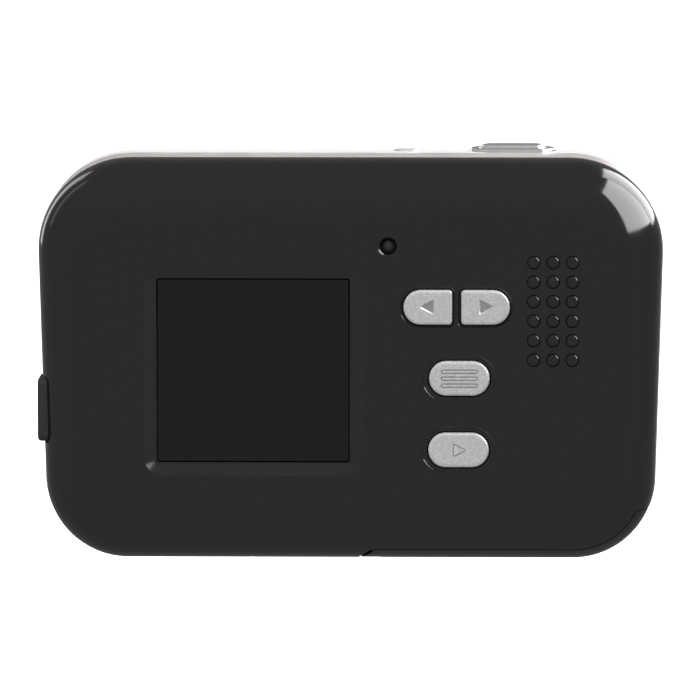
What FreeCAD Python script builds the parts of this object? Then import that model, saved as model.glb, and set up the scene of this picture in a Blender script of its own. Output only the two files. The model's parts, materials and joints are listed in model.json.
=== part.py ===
# Compact digital camera, built as separate pieces.
#
# Frame: X runs left to right as seen from behind, Y from the rear face to the lens, Z up.
# The origin is the middle of the base: the camera stands on z = 0.
# Every length is in millimetres. The driving dimensions are the cells of the sheet "sizes".
import FreeCAD, Part
import math
import os
import re

import Sketcher

Vector = FreeCAD.Vector

# ---------------------------------------------------------------- driving dimensions

SIZES = {
    # case
    "body_width": 90.0,
    "body_height": 58.2,
    "body_taper": 0.95,
    "top_corner": 13.5,
    "bottom_corner": 12.0,
    "rear_depth": 9.0,
    "front_depth": 8.0,
    "rear_step": 0.15,
    "rear_round": 8.4,
    "front_round": 3.0,
    "wall": 1.6,
    "seam": 0.12,
    # display
    "display_x": -13.8,
    "display_z": 28.05,
    "display_width": 27.5,
    "display_height": 26.3,
    "recess_margin": 1.8,
    "recess_step": 0.5,
    "window_thick": 0.65,
    "window_gap": 0.05,
    "panel_thick": 2.2,
    "frame_wall": 1.4,
    "frame_depth": 3.6,
    # rear buttons
    "button_proud": 0.4,
    "button_travel": 0.4,
    "button_height": 5.0,
    "button_width": 8.7,
    "button_fit": 0.15,
    "well_margin": 0.65,
    "well_depth": 0.5,
    "lip": 0.6,
    "lip_thick": 0.6,
    "arrow_width": 7.0,
    "arrow_gap": 1.25,
    "arrows_x": 15.3,
    "arrows_z": 37.25,
    "menu_x": 15.7,
    "menu_z": 27.05,
    "play_x": 15.6,
    "play_z": 16.75,
    "stem_size": 2.4,
    "switch_size": 4.5,
    "switch_height": 1.8,
    # status lamp and thumb grip
    "lamp_x": 5.5,
    "lamp_z": 45.95,
    "lamp_radius": 1.2,
    "dot_x": 26.3,
    "dot_z": 43.7,
    "dot_pitch_x": 2.76,
    "dot_pitch_z": 2.8,
    "dot_radius": 0.9,
    "dot_proud": 0.3,
    # controls on top
    "shutter_x": 23.4,
    "controls_setback": 4.7,
    "bezel_width": 12.4,
    "bezel_depth": 6.4,
    "bezel_wall": 1.1,
    "bezel_proud": 0.55,
    "shutter_proud": 1.1,
    "shutter_travel": 0.9,
    "power_x": 8.0,
    "power_width": 3.8,
    "power_depth": 2.6,
    "power_proud": 0.3,
    "power_travel": 0.25,
    "top_fit": 0.12,
    "top_board_z": 51.1,
    "top_board_thick": 0.8,
    # circuit boards
    "board_gap": 4.0,
    "board_thick": 1.0,
    "board_inset": 3.4,
    "chip_height": 1.2,
    "card_height": 2.3,
    "card_gap": 0.25,
    # battery compartment
    "cell_radius": 5.25,
    "cell_length": 44.5,
    "cell_base": 3.0,
    "cell_side": 11.45,
    "cell_gap": 1.2,
    "cell_fit": 0.25,
    "cell_nub": 0.8,
    "box_wall": 0.6,
    "box_gap": 0.05,
    "contact_thick": 0.3,
    # battery door
    "door_thick": 1.85,
    "door_rise": 7.5,
    "hinge_x": 3.1,
    "hinge_z": 1.5,
    "hinge_pin_radius": 0.5,
    "hinge_fit": 0.05,
    "knuckle_radius": 1.1,
    "lug_length": 2.5,
    "corner_slope": 0.7,
    # lens
    "lens_proud": 3.0,
    "lens_x": -13.8,
    "lens_z": 31.5,
    "lens_ring_radius": 12.5,
    "lens_hole_radius": 7.6,
    "lens_mouth_radius": 9.6,
    "lens_throat_radius": 6.6,
    "barrel_radius": 4.2,
    "barrel_wall": 0.8,
    "holder_radius": 6.4,
    "sensor_y": -0.6,
    # flash
    "flash_x": -32.2,
    "flash_z": 44.0,
    "flash_width": 11.0,
    "flash_height": 6.4,
    "capacitor_radius": 3.4,
    "capacitor_length": 28.0,
    # tripod bush: quarter-inch thread, drawn at its minor diameter
    "bush_x": -13.8,
    "bush_bore": 2.6,
    "bush_radius": 4.4,
    "bush_length": 6.5,
    # side port
    "port_z": 21.75,
    "port_height": 9.2,
    "port_depth": 7.4,
    "port_thick": 1.5,
    "port_fit": 0.2,
    # screws
    "screw_radius": 0.85,
    "screw_head_radius": 1.6,
    "screw_head_thick": 0.9,
    "screw_length": 5.0,
    "board_screw_radius": 0.7,
}

# ---------------------------------------------------------------- derived places, as expressions

# What stands behind one another in the case, from the rear wall to the front wall.
HALF_BOX = "(cell_radius + cell_fit + box_wall)"
HALF_CASE = f"(wall + {HALF_BOX} + (board_gap + board_thick + card_height + card_gap + box_gap) / 2)"
Y_REAR = f"((button_proud - lens_proud) / 2 - {HALF_CASE})"
Y_FACE = f"((button_proud - lens_proud) / 2 + {HALF_CASE})"
Y_BACK = f"({Y_REAR} - button_proud)"
Y_MID = f"({Y_REAR} + rear_depth)"
Y_FRONT = f"({Y_FACE} - front_depth)"
Y_LENS = f"({Y_FACE} + lens_proud)"
Y_CONTROLS = f"({Y_FACE} - controls_setback)"
Y_INNER_REAR = f"({Y_REAR} + wall)"
Y_INNER_FACE = f"({Y_FACE} - wall)"
Y_BOARD = f"({Y_INNER_REAR} + board_gap)"
Y_BOARD_FRONT = f"({Y_BOARD} + board_thick)"
Y_SWITCH = f"({Y_BOARD} - switch_height)"
Y_STEM = f"({Y_SWITCH} - button_travel - 0.1)"
Y_LIP = f"({Y_INNER_REAR} + 0.05)"
Y_CELL = f"({Y_INNER_FACE} - box_gap - {HALF_BOX})"
Y_WINDOW = f"({Y_INNER_REAR} - window_gap - window_thick)"
Y_PORT = f"({Y_BOARD_FRONT} + 2.0)"
Z_CELL_TOP = "(cell_base + cell_length)"
Z_TOP_WALL = "(body_height - wall)"
Z_SHUTTER_LIP = f"({Z_TOP_WALL} - 0.1)"
Z_SWITCH_BASE = "(top_board_z + top_board_thick)"
X_LEFT_ARROW = "(arrows_x - (arrow_gap + arrow_width) / 2)"
X_RIGHT_ARROW = "(arrows_x + (arrow_gap + arrow_width) / 2)"
HALF_BOTTOM = "(body_width / 2 - body_taper)"
X_OUTER_CELL = f"({HALF_BOTTOM} - cell_side - cell_radius)"
X_CELLS = (f"({X_OUTER_CELL} - 2 * cell_radius - cell_gap)", X_OUTER_CELL)
DOOR_END = "(hinge_x - hinge_z)"
Y_CENTRE = f"(({Y_MID} + {Y_FRONT}) / 2)"
Y_BUSH = Y_FRONT

doc = FreeCAD.newDocument("compact_camera")
sizes = doc.addObject("Spreadsheet::Sheet", "sizes")
nodes = []


def fill_sheet():
    """Write every driving dimension into the sheet, one row each."""
    for row, (alias, value) in enumerate(SIZES.items(), start=1):
        sizes.set(f"A{row}", alias)
        sizes.set(f"B{row}", str(value))
        sizes.setAlias(f"B{row}", alias)
    doc.recompute()


def bound(text):
    """The expression with each alias qualified by the sheet's name."""
    return re.sub(r"[a-z_]{2,}", lambda word: "sizes." + word.group(0), str(text))


def number(text):
    """The value of an expression of aliases, in millimetres."""
    plain = re.sub(r"[a-z_]{2,}", lambda word: repr(float(sizes.get(word.group(0)))), str(text))
    return FreeCAD.Units.Quantity(plain).Value


def place(shape, x="0", y="0", z="0", rotation=None):
    """Set a primitive's orientation and bind its position."""
    if rotation is not None:
        shape.Placement = FreeCAD.Placement(Vector(0, 0, 0), rotation)
    for axis, text in (("x", x), ("y", y), ("z", z)):
        shape.setExpression("Placement.Base." + axis, bound(text))
    return shape


# ---------------------------------------------------------------- primitives and booleans

def block(name, x, y, z):
    """A box between three (low, high) pairs of expressions."""
    box = doc.addObject("Part::Box", name)
    for prop, (low, high) in (("Length", x), ("Width", y), ("Height", z)):
        box.setExpression(prop, bound(f"({high}) - ({low})"))
    return place(box, x[0], y[0], z[0])


def along_y():
    return FreeCAD.Rotation(Vector(1, 0, 0), -90)


def along_x():
    return FreeCAD.Rotation(Vector(0, 1, 0), 90)


def rod(name, radius, low, high, x="0", y="0", z="0", axis="z"):
    """A cylinder from low to high along an axis, centred on the other two coordinates."""
    cylinder = doc.addObject("Part::Cylinder", name)
    cylinder.setExpression("Radius", bound(radius))
    cylinder.setExpression("Height", bound(f"({high}) - ({low})"))
    if axis == "y":
        return place(cylinder, x, low, z, along_y())
    if axis == "x":
        return place(cylinder, low, y, z, along_x())
    return place(cylinder, x, y, low)


def cone(name, radius_low, radius_high, low, high, x, z):
    """A cone frustum along Y."""
    frustum = doc.addObject("Part::Cone", name)
    frustum.setExpression("Radius1", bound(radius_low))
    frustum.setExpression("Radius2", bound(radius_high))
    frustum.setExpression("Height", bound(f"({high}) - ({low})"))
    return place(frustum, x, low, z, along_y())


def fuse(name, *parts):
    union = doc.addObject("Part::MultiFuse", name)
    union.Shapes = list(parts)
    union.Refine = True
    return union


def cut(name, base, *tools):
    difference = doc.addObject("Part::Cut", name)
    difference.Base = base
    difference.Tool = tools[0] if len(tools) == 1 else fuse(name + "_tools", *tools)
    difference.Refine = True
    return difference


def common(name, first, second):
    shared = doc.addObject("Part::Common", name)
    shared.Base = first
    shared.Tool = second
    return shared


def node(label, shape):
    """Name a finished sub-part."""
    shape.Label = label
    nodes.append(shape)
    return shape


# ---------------------------------------------------------------- sketched bodies

def origin_plane(body, role):
    return [feature for feature in body.Origin.OriginFeatures if feature.Role == role][0]


def sketch_on(body, name, role, offset):
    """A sketch on one of the body's own origin planes, moved along the plane's normal."""
    sketch = body.newObject("Sketcher::SketchObject", name)
    sketch.AttachmentSupport = [(origin_plane(body, role), "")]
    sketch.MapMode = "FlatFace"
    sketch.setExpression("AttachmentOffset.Base.z", bound(offset))
    return sketch


def dimension(sketch, kind, *where, size):
    """A driving constraint bound to an expression."""
    index = sketch.addConstraint(Sketcher.Constraint(kind, *where, number(size)))
    sketch.setExpression(f"Constraints[{index}]", bound(size))


def chain(sketch, edges):
    """Join the edges end to end, tangent to each other."""
    for first, second in zip(edges, edges[1:] + edges[:1]):
        sketch.addConstraint(Sketcher.Constraint("Tangent", first, 2, second, 1))


def arc(sketch, x, z, radius, start, end):
    circle = Part.Circle(Vector(x, z, 0), Vector(0, 0, 1), radius)
    return sketch.addGeometry(Part.ArcOfCircle(circle, math.radians(start), math.radians(end)))


def line(sketch, start, end):
    return sketch.addGeometry(Part.LineSegment(Vector(*start, 0), Vector(*end, 0)))


def case_outline(sketch, inset):
    """The camera's outline: large upper corners, slightly smaller lower ones, sides leaning in."""
    half_top = f"(body_width / 2 - ({inset}))"
    half_bottom = f"({HALF_BOTTOM} - ({inset}))"
    top = f"(body_height - ({inset}))"
    r_top = f"(top_corner - ({inset}))"
    r_bottom = f"(bottom_corner - ({inset}))"
    xt = number(f"{half_top} - {r_top}")
    xb = number(f"{half_bottom} - {r_bottom}")
    zt = number(f"{top} - {r_top}")
    zb = number(f"({inset}) + {r_bottom}")
    rt = number(r_top)
    rb = number(r_bottom)
    gap = math.hypot(xt - xb, zt - zb)
    lean = math.degrees(math.atan2(xt - xb, zt - zb) + math.asin((rt - rb) / gap))
    cosine = math.cos(math.radians(lean))
    sine = math.sin(math.radians(lean))
    upper = line(sketch, (xt, zt + rt), (-xt, zt + rt))
    left_top = arc(sketch, -xt, zt, rt, 90, 180 + lean)
    left = line(sketch, (-xt - rt * cosine, zt - rt * sine), (-xb - rb * cosine, zb - rb * sine))
    left_low = arc(sketch, -xb, zb, rb, 180 + lean, 270)
    lower = line(sketch, (-xb, zb - rb), (xb, zb - rb))
    right_low = arc(sketch, xb, zb, rb, 270, 360 - lean)
    right = line(sketch, (xb + rb * cosine, zb - rb * sine), (xt + rt * cosine, zt - rt * sine))
    right_top = arc(sketch, xt, zt, rt, -lean, 90)
    chain(sketch, [upper, left_top, left, left_low, lower, right_low, right, right_top])
    for corner, radius, half, z, side in (
        (right_top, r_top, half_top, f"{top} - {r_top}", ""),
        (left_top, r_top, half_top, f"{top} - {r_top}", "-"),
        (right_low, r_bottom, half_bottom, f"({inset}) + {r_bottom}", ""),
        (left_low, r_bottom, half_bottom, f"({inset}) + {r_bottom}", "-"),
    ):
        dimension(sketch, "Radius", corner, size=radius)
        dimension(sketch, "DistanceX", -1, 1, corner, 3, size=f"{side}({half} - {radius})")
        dimension(sketch, "DistanceY", -1, 1, corner, 3, size=z)


def slot_outline(sketch, x, z, width, height):
    """A stadium: two half circles joined by straight lines."""
    r = number(f"({height}) / 2")
    cx = number(x)
    cz = number(z)
    half = number(f"(({width}) - ({height})) / 2")
    right = arc(sketch, cx + half, cz, r, -90, 90)
    upper = line(sketch, (cx + half, cz + r), (cx - half, cz + r))
    left = arc(sketch, cx - half, cz, r, 90, 270)
    lower = line(sketch, (cx - half, cz - r), (cx + half, cz - r))
    chain(sketch, [right, upper, left, lower])
    dimension(sketch, "Radius", right, size=f"({height}) / 2")
    dimension(sketch, "DistanceX", -1, 1, right, 3, size=f"({x}) + (({width}) - ({height})) / 2")
    dimension(sketch, "DistanceX", -1, 1, left, 3, size=f"({x}) - (({width}) - ({height})) / 2")
    dimension(sketch, "DistanceY", -1, 1, right, 3, size=z)
    sketch.addConstraint(Sketcher.Constraint("Horizontal", upper))


def arrow_outline(sketch, x, z, width, height, side):
    """Half a stadium: a half circle on one side (+1 right, -1 left), a straight end on the other."""
    r = number(f"({height}) / 2")
    cz = number(z)
    flat = number(f"({x}) - ({side}) * ({width}) / 2")
    centre = number(f"({x}) + ({side}) * (({width}) - ({height})) / 2")
    start = (centre, cz - r * side)
    end = (centre, cz + r * side)
    turn = -90 if side > 0 else 90
    cap = arc(sketch, centre, cz, r, turn, turn + 180)
    first = line(sketch, end, (flat, end[1]))
    back = line(sketch, (flat, end[1]), (flat, start[1]))
    last = line(sketch, (flat, start[1]), start)
    sketch.addConstraint(Sketcher.Constraint("Tangent", cap, 2, first, 1))
    sketch.addConstraint(Sketcher.Constraint("Coincident", first, 2, back, 1))
    sketch.addConstraint(Sketcher.Constraint("Coincident", back, 2, last, 1))
    sketch.addConstraint(Sketcher.Constraint("Tangent", last, 2, cap, 1))
    sketch.addConstraint(Sketcher.Constraint("Horizontal", first))
    sketch.addConstraint(Sketcher.Constraint("Vertical", back))
    dimension(sketch, "Radius", cap, size=f"({height}) / 2")
    dimension(sketch, "DistanceX", -1, 1, cap, 3, size=f"({x}) + ({side}) * (({width}) - ({height})) / 2")
    dimension(sketch, "DistanceX", -1, 1, back, 1, size=f"({x}) - ({side}) * ({width}) / 2")
    dimension(sketch, "DistanceY", -1, 1, cap, 3, size=z)


def padded(name, y, draw, *arguments):
    """A body padded between two depths (rear, front) from an outline in the XZ plane."""
    body = doc.addObject("PartDesign::Body", name)
    sketch = sketch_on(body, name + "_sketch", "XZ_Plane", f"0 - ({y[1]})")
    draw(sketch, *arguments)
    pad = body.newObject("PartDesign::Pad", name + "_pad")
    pad.Profile = sketch
    pad.setExpression("Length", bound(f"({y[1]}) - ({y[0]})"))
    doc.recompute()
    return body


def raised(name, z, draw, *arguments):
    """A body padded between two heights from an outline in the XY plane."""
    body = doc.addObject("PartDesign::Body", name)
    sketch = sketch_on(body, name + "_sketch", "XY_Plane", z[0])
    draw(sketch, *arguments)
    pad = body.newObject("PartDesign::Pad", name + "_pad")
    pad.Profile = sketch
    pad.setExpression("Length", bound(f"({z[1]}) - ({z[0]})"))
    doc.recompute()
    return body


def rounded(body, depth, radius):
    """Round the outline's edges that lie in the plane y = depth."""
    level = number(depth)
    names = []
    for index, edge in enumerate(body.Shape.Edges, start=1):
        if all(abs(vertex.Y - level) < 0.001 for vertex in edge.Vertexes):
            names.append(f"Edge{index}")
    pad = body.Tip
    fillet = body.newObject("PartDesign::Fillet", body.Name + "_round")
    fillet.Base = (pad, names)
    fillet.setExpression("Radius", bound(radius))
    doc.recompute()
    return body


# ---------------------------------------------------------------- shared cutters

def rear_form(name, inset, rounding):
    """The rear cover's outer form, or its inner one at an inset, rounded towards the rear face."""
    depth = f"({Y_REAR} + {inset})"
    return rounded(padded(name, (depth, Y_MID), case_outline, f"rear_step + {inset}"), depth, rounding)


def front_form(name, inset, rounding):
    """The front cover's outer form, or its inner one at an inset, rounded towards the front face."""
    depth = f"({Y_FACE} - {inset})"
    return rounded(padded(name, (Y_FRONT, depth), case_outline, inset), depth, rounding)


def wedge(name, y, x_low, x_high, z_low, z_high):
    """A wedge along Y: each of the last four holds the values at its two ends."""
    solid = doc.addObject("Part::Wedge", name)
    for prop, text in (
        ("Ymin", y[0]), ("Ymax", y[1]),
        ("Xmin", x_low[0]), ("X2min", x_low[1]),
        ("Xmax", x_high[0]), ("X2max", x_high[1]),
        ("Zmin", z_low[0]), ("Z2min", z_low[1]),
        ("Zmax", z_high[0]), ("Z2max", z_high[1]),
    ):
        solid.setExpression(prop, bound(text))
    return solid


def door_zone(name, clearance):
    """The ring just inside the outline, kept to the lower right corner beyond the hinge.

    Its two hinge-side corners are cut at a slant, so that little of the door swings up there."""
    ring = cut(
        name + "_ring",
        padded(name + "_outer", (f"{Y_REAR} - 1", f"{Y_FACE} + 1"), case_outline, "0 - 1"),
        padded(name + "_inner", (f"{Y_REAR} - 2", f"{Y_FACE} + 2"), case_outline,
               f"door_thick + {clearance}"),
    )
    limit = block(
        name + "_limit",
        (f"{DOOR_END} - {clearance}", "body_width"),
        (f"{Y_REAR} - 3", f"{Y_FACE} + 3"),
        ("0 - 3", f"door_rise + {clearance}"),
    )
    end = f"({DOOR_END} - {clearance})"
    y_low = f"({Y_REAR} - 4)"
    y_high = f"({Y_FACE} + 4)"
    far_rear = f"{end} + corner_slope * ({Y_CORNER_REAR} - {y_low})"
    far_front = f"{end} + corner_slope * ({y_high} - {Y_CORNER_FRONT})"
    left = ("0 - 5", "0 - 5")
    heights = (("0 - 4", "0 - 4"), ("door_rise - 1", "door_rise - 1"))
    rear = wedge(name + "_rear_corner", (y_low, Y_CORNER_REAR), left, (far_rear, end), *heights)
    front = wedge(name + "_front_corner", (Y_CORNER_FRONT, y_high), left, (end, far_front), *heights)
    return cut(name, common(name + "_strip", ring, limit), rear, front)


def swing_relief(name):
    """Room for the door's inner end to swing up into the case, tapered towards its slanted corners."""
    reach = "(hinge_z * 1.41422 + seam + 0.05)"
    least = "(seam + 0.1)"
    rear_end = f"({Y_CORNER_REAR} - ({reach} - {least}) / corner_slope)"
    turn = f"({Y_CORNER_FRONT} + front_round * 0.1)"
    front_end = f"({Y_FACE} - front_round * 0.15)"
    middle = rod(name + "_middle", reach, Y_CORNER_REAR, turn, x="hinge_x", z="hinge_z", axis="y")
    rear = cone(name + "_rear", least, reach, rear_end, Y_CORNER_REAR, "hinge_x", "hinge_z")
    front = cone(name + "_front", reach, "hinge_z * 0.4", turn, front_end, "hinge_x", "hinge_z")
    return fuse(name, middle, rear, front)


def hinge_lug(name, y):
    """One hinge eye that reaches from the case's bottom wall to the hinge pin."""
    eye = rod(name + "_eye", "knuckle_radius", y[0], y[1], x="hinge_x", z="hinge_z", axis="y")
    arm = block(name + "_arm", (f"{DOOR_END} - 2.2", "hinge_x"), y,
                ("wall - 0.4", "hinge_z + knuckle_radius"))
    return fuse(name, eye, arm)


def pin_hole(name, clearance):
    radius = f"hinge_pin_radius + {clearance}"
    return rod(name, radius, f"{Y_REAR} - 1", f"{Y_FACE} + 1", x="hinge_x", z="hinge_z", axis="y")


Y_LUG_REAR = (f"({Y_MID} - lug_length)", Y_MID)
Y_LUG_FRONT = (Y_FRONT, f"({Y_FRONT} + lug_length)")
Y_CORNER_REAR = f"({Y_LUG_REAR[0]} - 0.3)"
Y_CORNER_FRONT = f"({Y_FACE} - front_round * 0.65)"


def bush_hole(name):
    return rod(name, "bush_radius", "0 - 1", "bush_length", x="bush_x", y=Y_BUSH)


def port_opening(name):
    """The side opening that the port cover fills, cut through the case wall."""
    return block(
        name,
        ("0 - body_width", "0 - body_width / 2 + 5"),
        (f"{Y_MID} - port_depth / 2 - port_fit", f"{Y_MID} + port_depth / 2 + port_fit"),
        ("port_z - port_height / 2 - port_fit", "port_z + port_height / 2 + port_fit"),
    )


# outline, centre x, centre z, width, further outline arguments, well margin, flange margin
REAR_BUTTONS = {
    "left_button": (arrow_outline, X_LEFT_ARROW, "arrows_z", "arrow_width", [-1],
                    "(arrow_gap / 2 - 0.2)", "(arrow_gap / 2 - 0.15)"),
    "right_button": (arrow_outline, X_RIGHT_ARROW, "arrows_z", "arrow_width", [1],
                     "(arrow_gap / 2 - 0.2)", "(arrow_gap / 2 - 0.15)"),
    "menu_button": (slot_outline, "menu_x", "menu_z", "button_width", [], "well_margin", "lip"),
    "play_button": (slot_outline, "play_x", "play_z", "button_width", [], "well_margin", "lip"),
}


def button_prism(name, button, y, grow):
    """A rear button's outline grown by a margin, between two depths."""
    draw, x, z, width, side, _, _ = REAR_BUTTONS[button]
    return padded(name, y, draw, x, z, f"({width} + 2 * {grow})", f"(button_height + 2 * {grow})", *side)


BOARD_SCREWS = (
    ("0 - (body_width / 2 - 10)", "(body_height - 11.5)"),
    ("0 - (body_width / 2 - 10)", "9"),
    ("(body_width / 2 - 9)", "(body_height - 11.5)"),
)
SIDE_SCREWS = {"right": 1, "left": -1}
SCREW_Z = "(body_height - top_corner - 3)"
X_BOTTOM_SCREWS = ("(0 - body_width / 2 + bottom_corner + 3)", "(0 - 3.6)")


def side_screw_rod(name, side, radius, start, end):
    """A rod along X measured inwards from the case's widest point on one side."""
    if side > 0:
        low, high = f"body_width / 2 - ({end})", f"body_width / 2 - ({start})"
    else:
        low, high = f"({start}) - body_width / 2", f"({end}) - body_width / 2"
    return rod(name, radius, low, high, y=Y_CENTRE, z=SCREW_Z, axis="x")


def screw_seats(name):
    """Clearance holes and head recesses for the case screws, through the mid frame."""
    cutters = []
    for word, side in SIDE_SCREWS.items():
        cutters.append(side_screw_rod(f"{name}_{word}_hole", side, "screw_radius + 0.1", "0 - 1", "4"))
        cutters.append(side_screw_rod(f"{name}_{word}_sink", side, "screw_head_radius + 0.1",
                                      "0 - 1", "screw_head_thick + 0.2"))
    for index, x in enumerate(X_BOTTOM_SCREWS):
        cutters.append(rod(f"{name}_low{index}_hole", "screw_radius + 0.1", "0 - 1", "4", x=x, y=Y_CENTRE))
        cutters.append(rod(f"{name}_low{index}_sink", "screw_head_radius + 0.1", "0 - 1",
                           "screw_head_thick + 0.2", x=x, y=Y_CENTRE))
    return fuse(name, *cutters)


# ---------------------------------------------------------------- case

def make_rear_cover():
    outer = rear_form("rear_outer", "0", "rear_round")
    inner = rear_form("rear_inner", "wall", "rear_round - wall")
    display = (
        "display_x - display_width / 2",
        "display_x + display_width / 2",
        "display_z - display_height / 2",
        "display_z + display_height / 2",
    )
    recess = wedge(
        "display_recess", (Y_REAR, Y_WINDOW),
        (f"{display[0]} - recess_margin", f"{display[0]} - recess_step"),
        (f"{display[1]} + recess_margin", f"{display[1]} + recess_step"),
        (f"{display[2]} - recess_margin", f"{display[2]} - recess_step"),
        (f"{display[3]} + recess_margin", f"{display[3]} + recess_step"),
    )
    opening = block(
        "display_opening",
        (f"{display[0]} - 0.1", f"{display[1]} + 0.1"),
        (f"{Y_WINDOW} - 0.1", f"{Y_INNER_REAR} + 1"),
        (f"{display[2]} - 0.1", f"{display[3]} + 0.1"),
    )
    cutters = [inner, recess, opening]
    for button, row in REAR_BUTTONS.items():
        through = (f"{Y_REAR} - 1", f"{Y_INNER_REAR} + 1")
        shallow = (f"{Y_REAR} - 1", f"{Y_REAR} + well_depth")
        cutters.append(button_prism(button + "_hole", button, through, "button_fit"))
        cutters.append(button_prism(button + "_well", button, shallow, row[5]))
    cutters.append(rod("lamp_hole", "lamp_radius", f"{Y_REAR} - 1", f"{Y_INNER_REAR} + 1",
                       x="lamp_x", z="lamp_z", axis="y"))
    cutters.append(door_zone("rear_door_cut", "seam"))
    cutters.append(swing_relief("rear_relief"))
    cutters.append(port_opening("rear_port_cut"))
    shell = cut("rear_shell", outer, *cutters)
    dots = []
    for column in range(3):
        for row in range(6):
            dots.append(rod(f"dot_{column}_{row}", "dot_radius", f"{Y_REAR} - dot_proud", f"{Y_REAR} + 0.5",
                            x=f"dot_x + {column} * dot_pitch_x", z=f"dot_z - {row} * dot_pitch_z", axis="y"))
    bosses = board_screw_rods("board_boss", "board_screw_radius + 1.2", f"{Y_INNER_REAR} - 0.5", Y_BOARD)
    pilots = board_screw_rods("board_pilot", "board_screw_radius", f"{Y_BOARD} - 3", f"{Y_BOARD} + 1")
    solid = fuse("rear_solid", shell, hinge_lug("rear_lug", Y_LUG_REAR), *bosses, *dots)
    node("rear_cover", cut("rear_cover_form", solid, pin_hole("rear_pin_hole", "0.01"), *pilots))


def make_mid_frame():
    outer = padded("mid_outer", (Y_MID, Y_FRONT), case_outline, "0")
    inner = padded("mid_inner", (f"{Y_MID} - 1", f"{Y_FRONT} + 1"), case_outline, "wall")
    node("mid_frame", cut(
        "mid_frame_form", outer, inner, door_zone("mid_door_cut", "seam"), swing_relief("mid_relief"),
        port_opening("mid_port_cut"), bush_hole("mid_bush_cut"), screw_seats("mid_screws"),
    ))


def screw_lugs():
    """Blocks on the front cover that reach behind the mid frame and take the case screws."""
    lugs = []
    y_lug = (f"{Y_CENTRE} - 2.4", f"{Y_FRONT} + 1")
    y_root = (Y_FRONT, f"{Y_FRONT} + 3")
    z = (f"{SCREW_Z} - 2.4", f"{SCREW_Z} + 2.4")
    for part, y, gap in (("lug", y_lug, "wall + 0.5"), ("root", y_root, "wall / 2")):
        lugs.append(block(part + "_right", ("body_width / 2 - 7", f"body_width / 2 - ({gap})"), y, z))
        lugs.append(block(part + "_left", (f"0 - body_width / 2 + ({gap})", "0 - body_width / 2 + 7"), y, z))
    for part, y, low in (("lug", y_lug, "wall + 0.1"), ("root", y_root, "wall / 2")):
        for index, x in enumerate(X_BOTTOM_SCREWS):
            lugs.append(block(f"{part}_low{index}", (f"{x} - 2.4", f"{x} + 2.4"), y, (low, "wall + 5")))
    return lugs


def screw_pilots():
    pilots = []
    for word, side in SIDE_SCREWS.items():
        pilots.append(side_screw_rod(f"pilot_{word}", side, "screw_radius", "wall", "screw_length + 1.5"))
    for index, x in enumerate(X_BOTTOM_SCREWS):
        pilots.append(rod(f"pilot_low{index}", "screw_radius", "1", "screw_length + 1", x=x, y=Y_CENTRE))
    return pilots


def make_front_cover():
    outer = front_form("front_outer", "0", "front_round")
    inner = front_form("front_inner", "wall", "front_round - wall")
    top_y = Y_CONTROLS
    cutters = [
        inner,
        rod("lens_hole", "lens_hole_radius", f"{Y_INNER_FACE} - 1", f"{Y_FACE} + 1",
            x="lens_x", z="lens_z", axis="y"),
        block("flash_hole", ("flash_x - flash_width / 2 - 0.1", "flash_x + flash_width / 2 + 0.1"),
              (f"{Y_INNER_FACE} - 1", f"{Y_FACE} + 1"),
              ("flash_z - flash_height / 2 - 0.1", "flash_z + flash_height / 2 + 0.1")),
        raised("bezel_hole", (f"{Z_TOP_WALL} - 1", "body_height + 1"), slot_outline,
               "shutter_x", top_y, "bezel_width - 2 * bezel_wall + 0.6",
               "bezel_depth - 2 * bezel_wall + 0.6"),
        raised("bezel_seat", ("body_height - 0.6", "body_height + 1"), slot_outline,
               "shutter_x", top_y, "bezel_width + 0.1", "bezel_depth + 0.1"),
        raised("power_hole", (f"{Z_TOP_WALL} - 1", "body_height + 1"), slot_outline,
               "power_x", top_y, "power_width + 2 * top_fit", "power_depth + 2 * top_fit"),
        rod("microphone_hole", "0.5", f"{Y_INNER_FACE} - 1", f"{Y_FACE} + 1",
            x="2", z="lens_z + 15", axis="y"),
        door_zone("front_door_cut", "seam"),
        swing_relief("front_relief"),
        bush_hole("front_bush_cut"),
    ]
    shell = cut("front_shell", outer, *cutters)
    solid = fuse("front_solid", shell, hinge_lug("front_lug", Y_LUG_FRONT), *screw_lugs())
    node("front_cover", cut("front_cover_form", solid, pin_hole("front_pin_hole", "0.01"), *screw_pilots()))


def make_battery_door():
    """The door is the piece of the case's skin that the door zone takes out, plus its hinge knuckle."""
    skin = fuse(
        "door_skin",
        rear_form("door_rear", "0", "rear_round"),
        padded("door_mid", (Y_MID, Y_FRONT), case_outline, "0"),
        front_form("door_front", "0", "front_round"),
    )
    panel = common("door_panel", skin, door_zone("door_body_zone", "0"))
    knuckle = rod("door_knuckle", "knuckle_radius", f"{Y_MID} + 0.1", f"{Y_FRONT} - 0.1",
                  x="hinge_x", z="hinge_z", axis="y")
    notches = []
    for index, (low, high) in enumerate((Y_LUG_REAR, Y_LUG_FRONT)):
        notches.append(block(
            f"door_notch{index}", (f"{DOOR_END} - 1", "hinge_x + knuckle_radius + 0.15"),
            (f"{low} - 0.1", f"{high} + 0.1"), ("0 - 1", "hinge_z + 4")))
    solid = fuse("door_solid", cut("door_notched", panel, *notches), knuckle)
    node("battery_door", cut("battery_door_form", solid, pin_hole("door_pin_hole", "hinge_fit")))


def make_hinge_pin():
    pin = rod("hinge_pin_form", "hinge_pin_radius", f"{Y_LUG_REAR[0]} + 0.1", f"{Y_LUG_FRONT[1]} - 0.1",
              x="hinge_x", z="hinge_z", axis="y")
    node("door_hinge_pin", pin)


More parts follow.
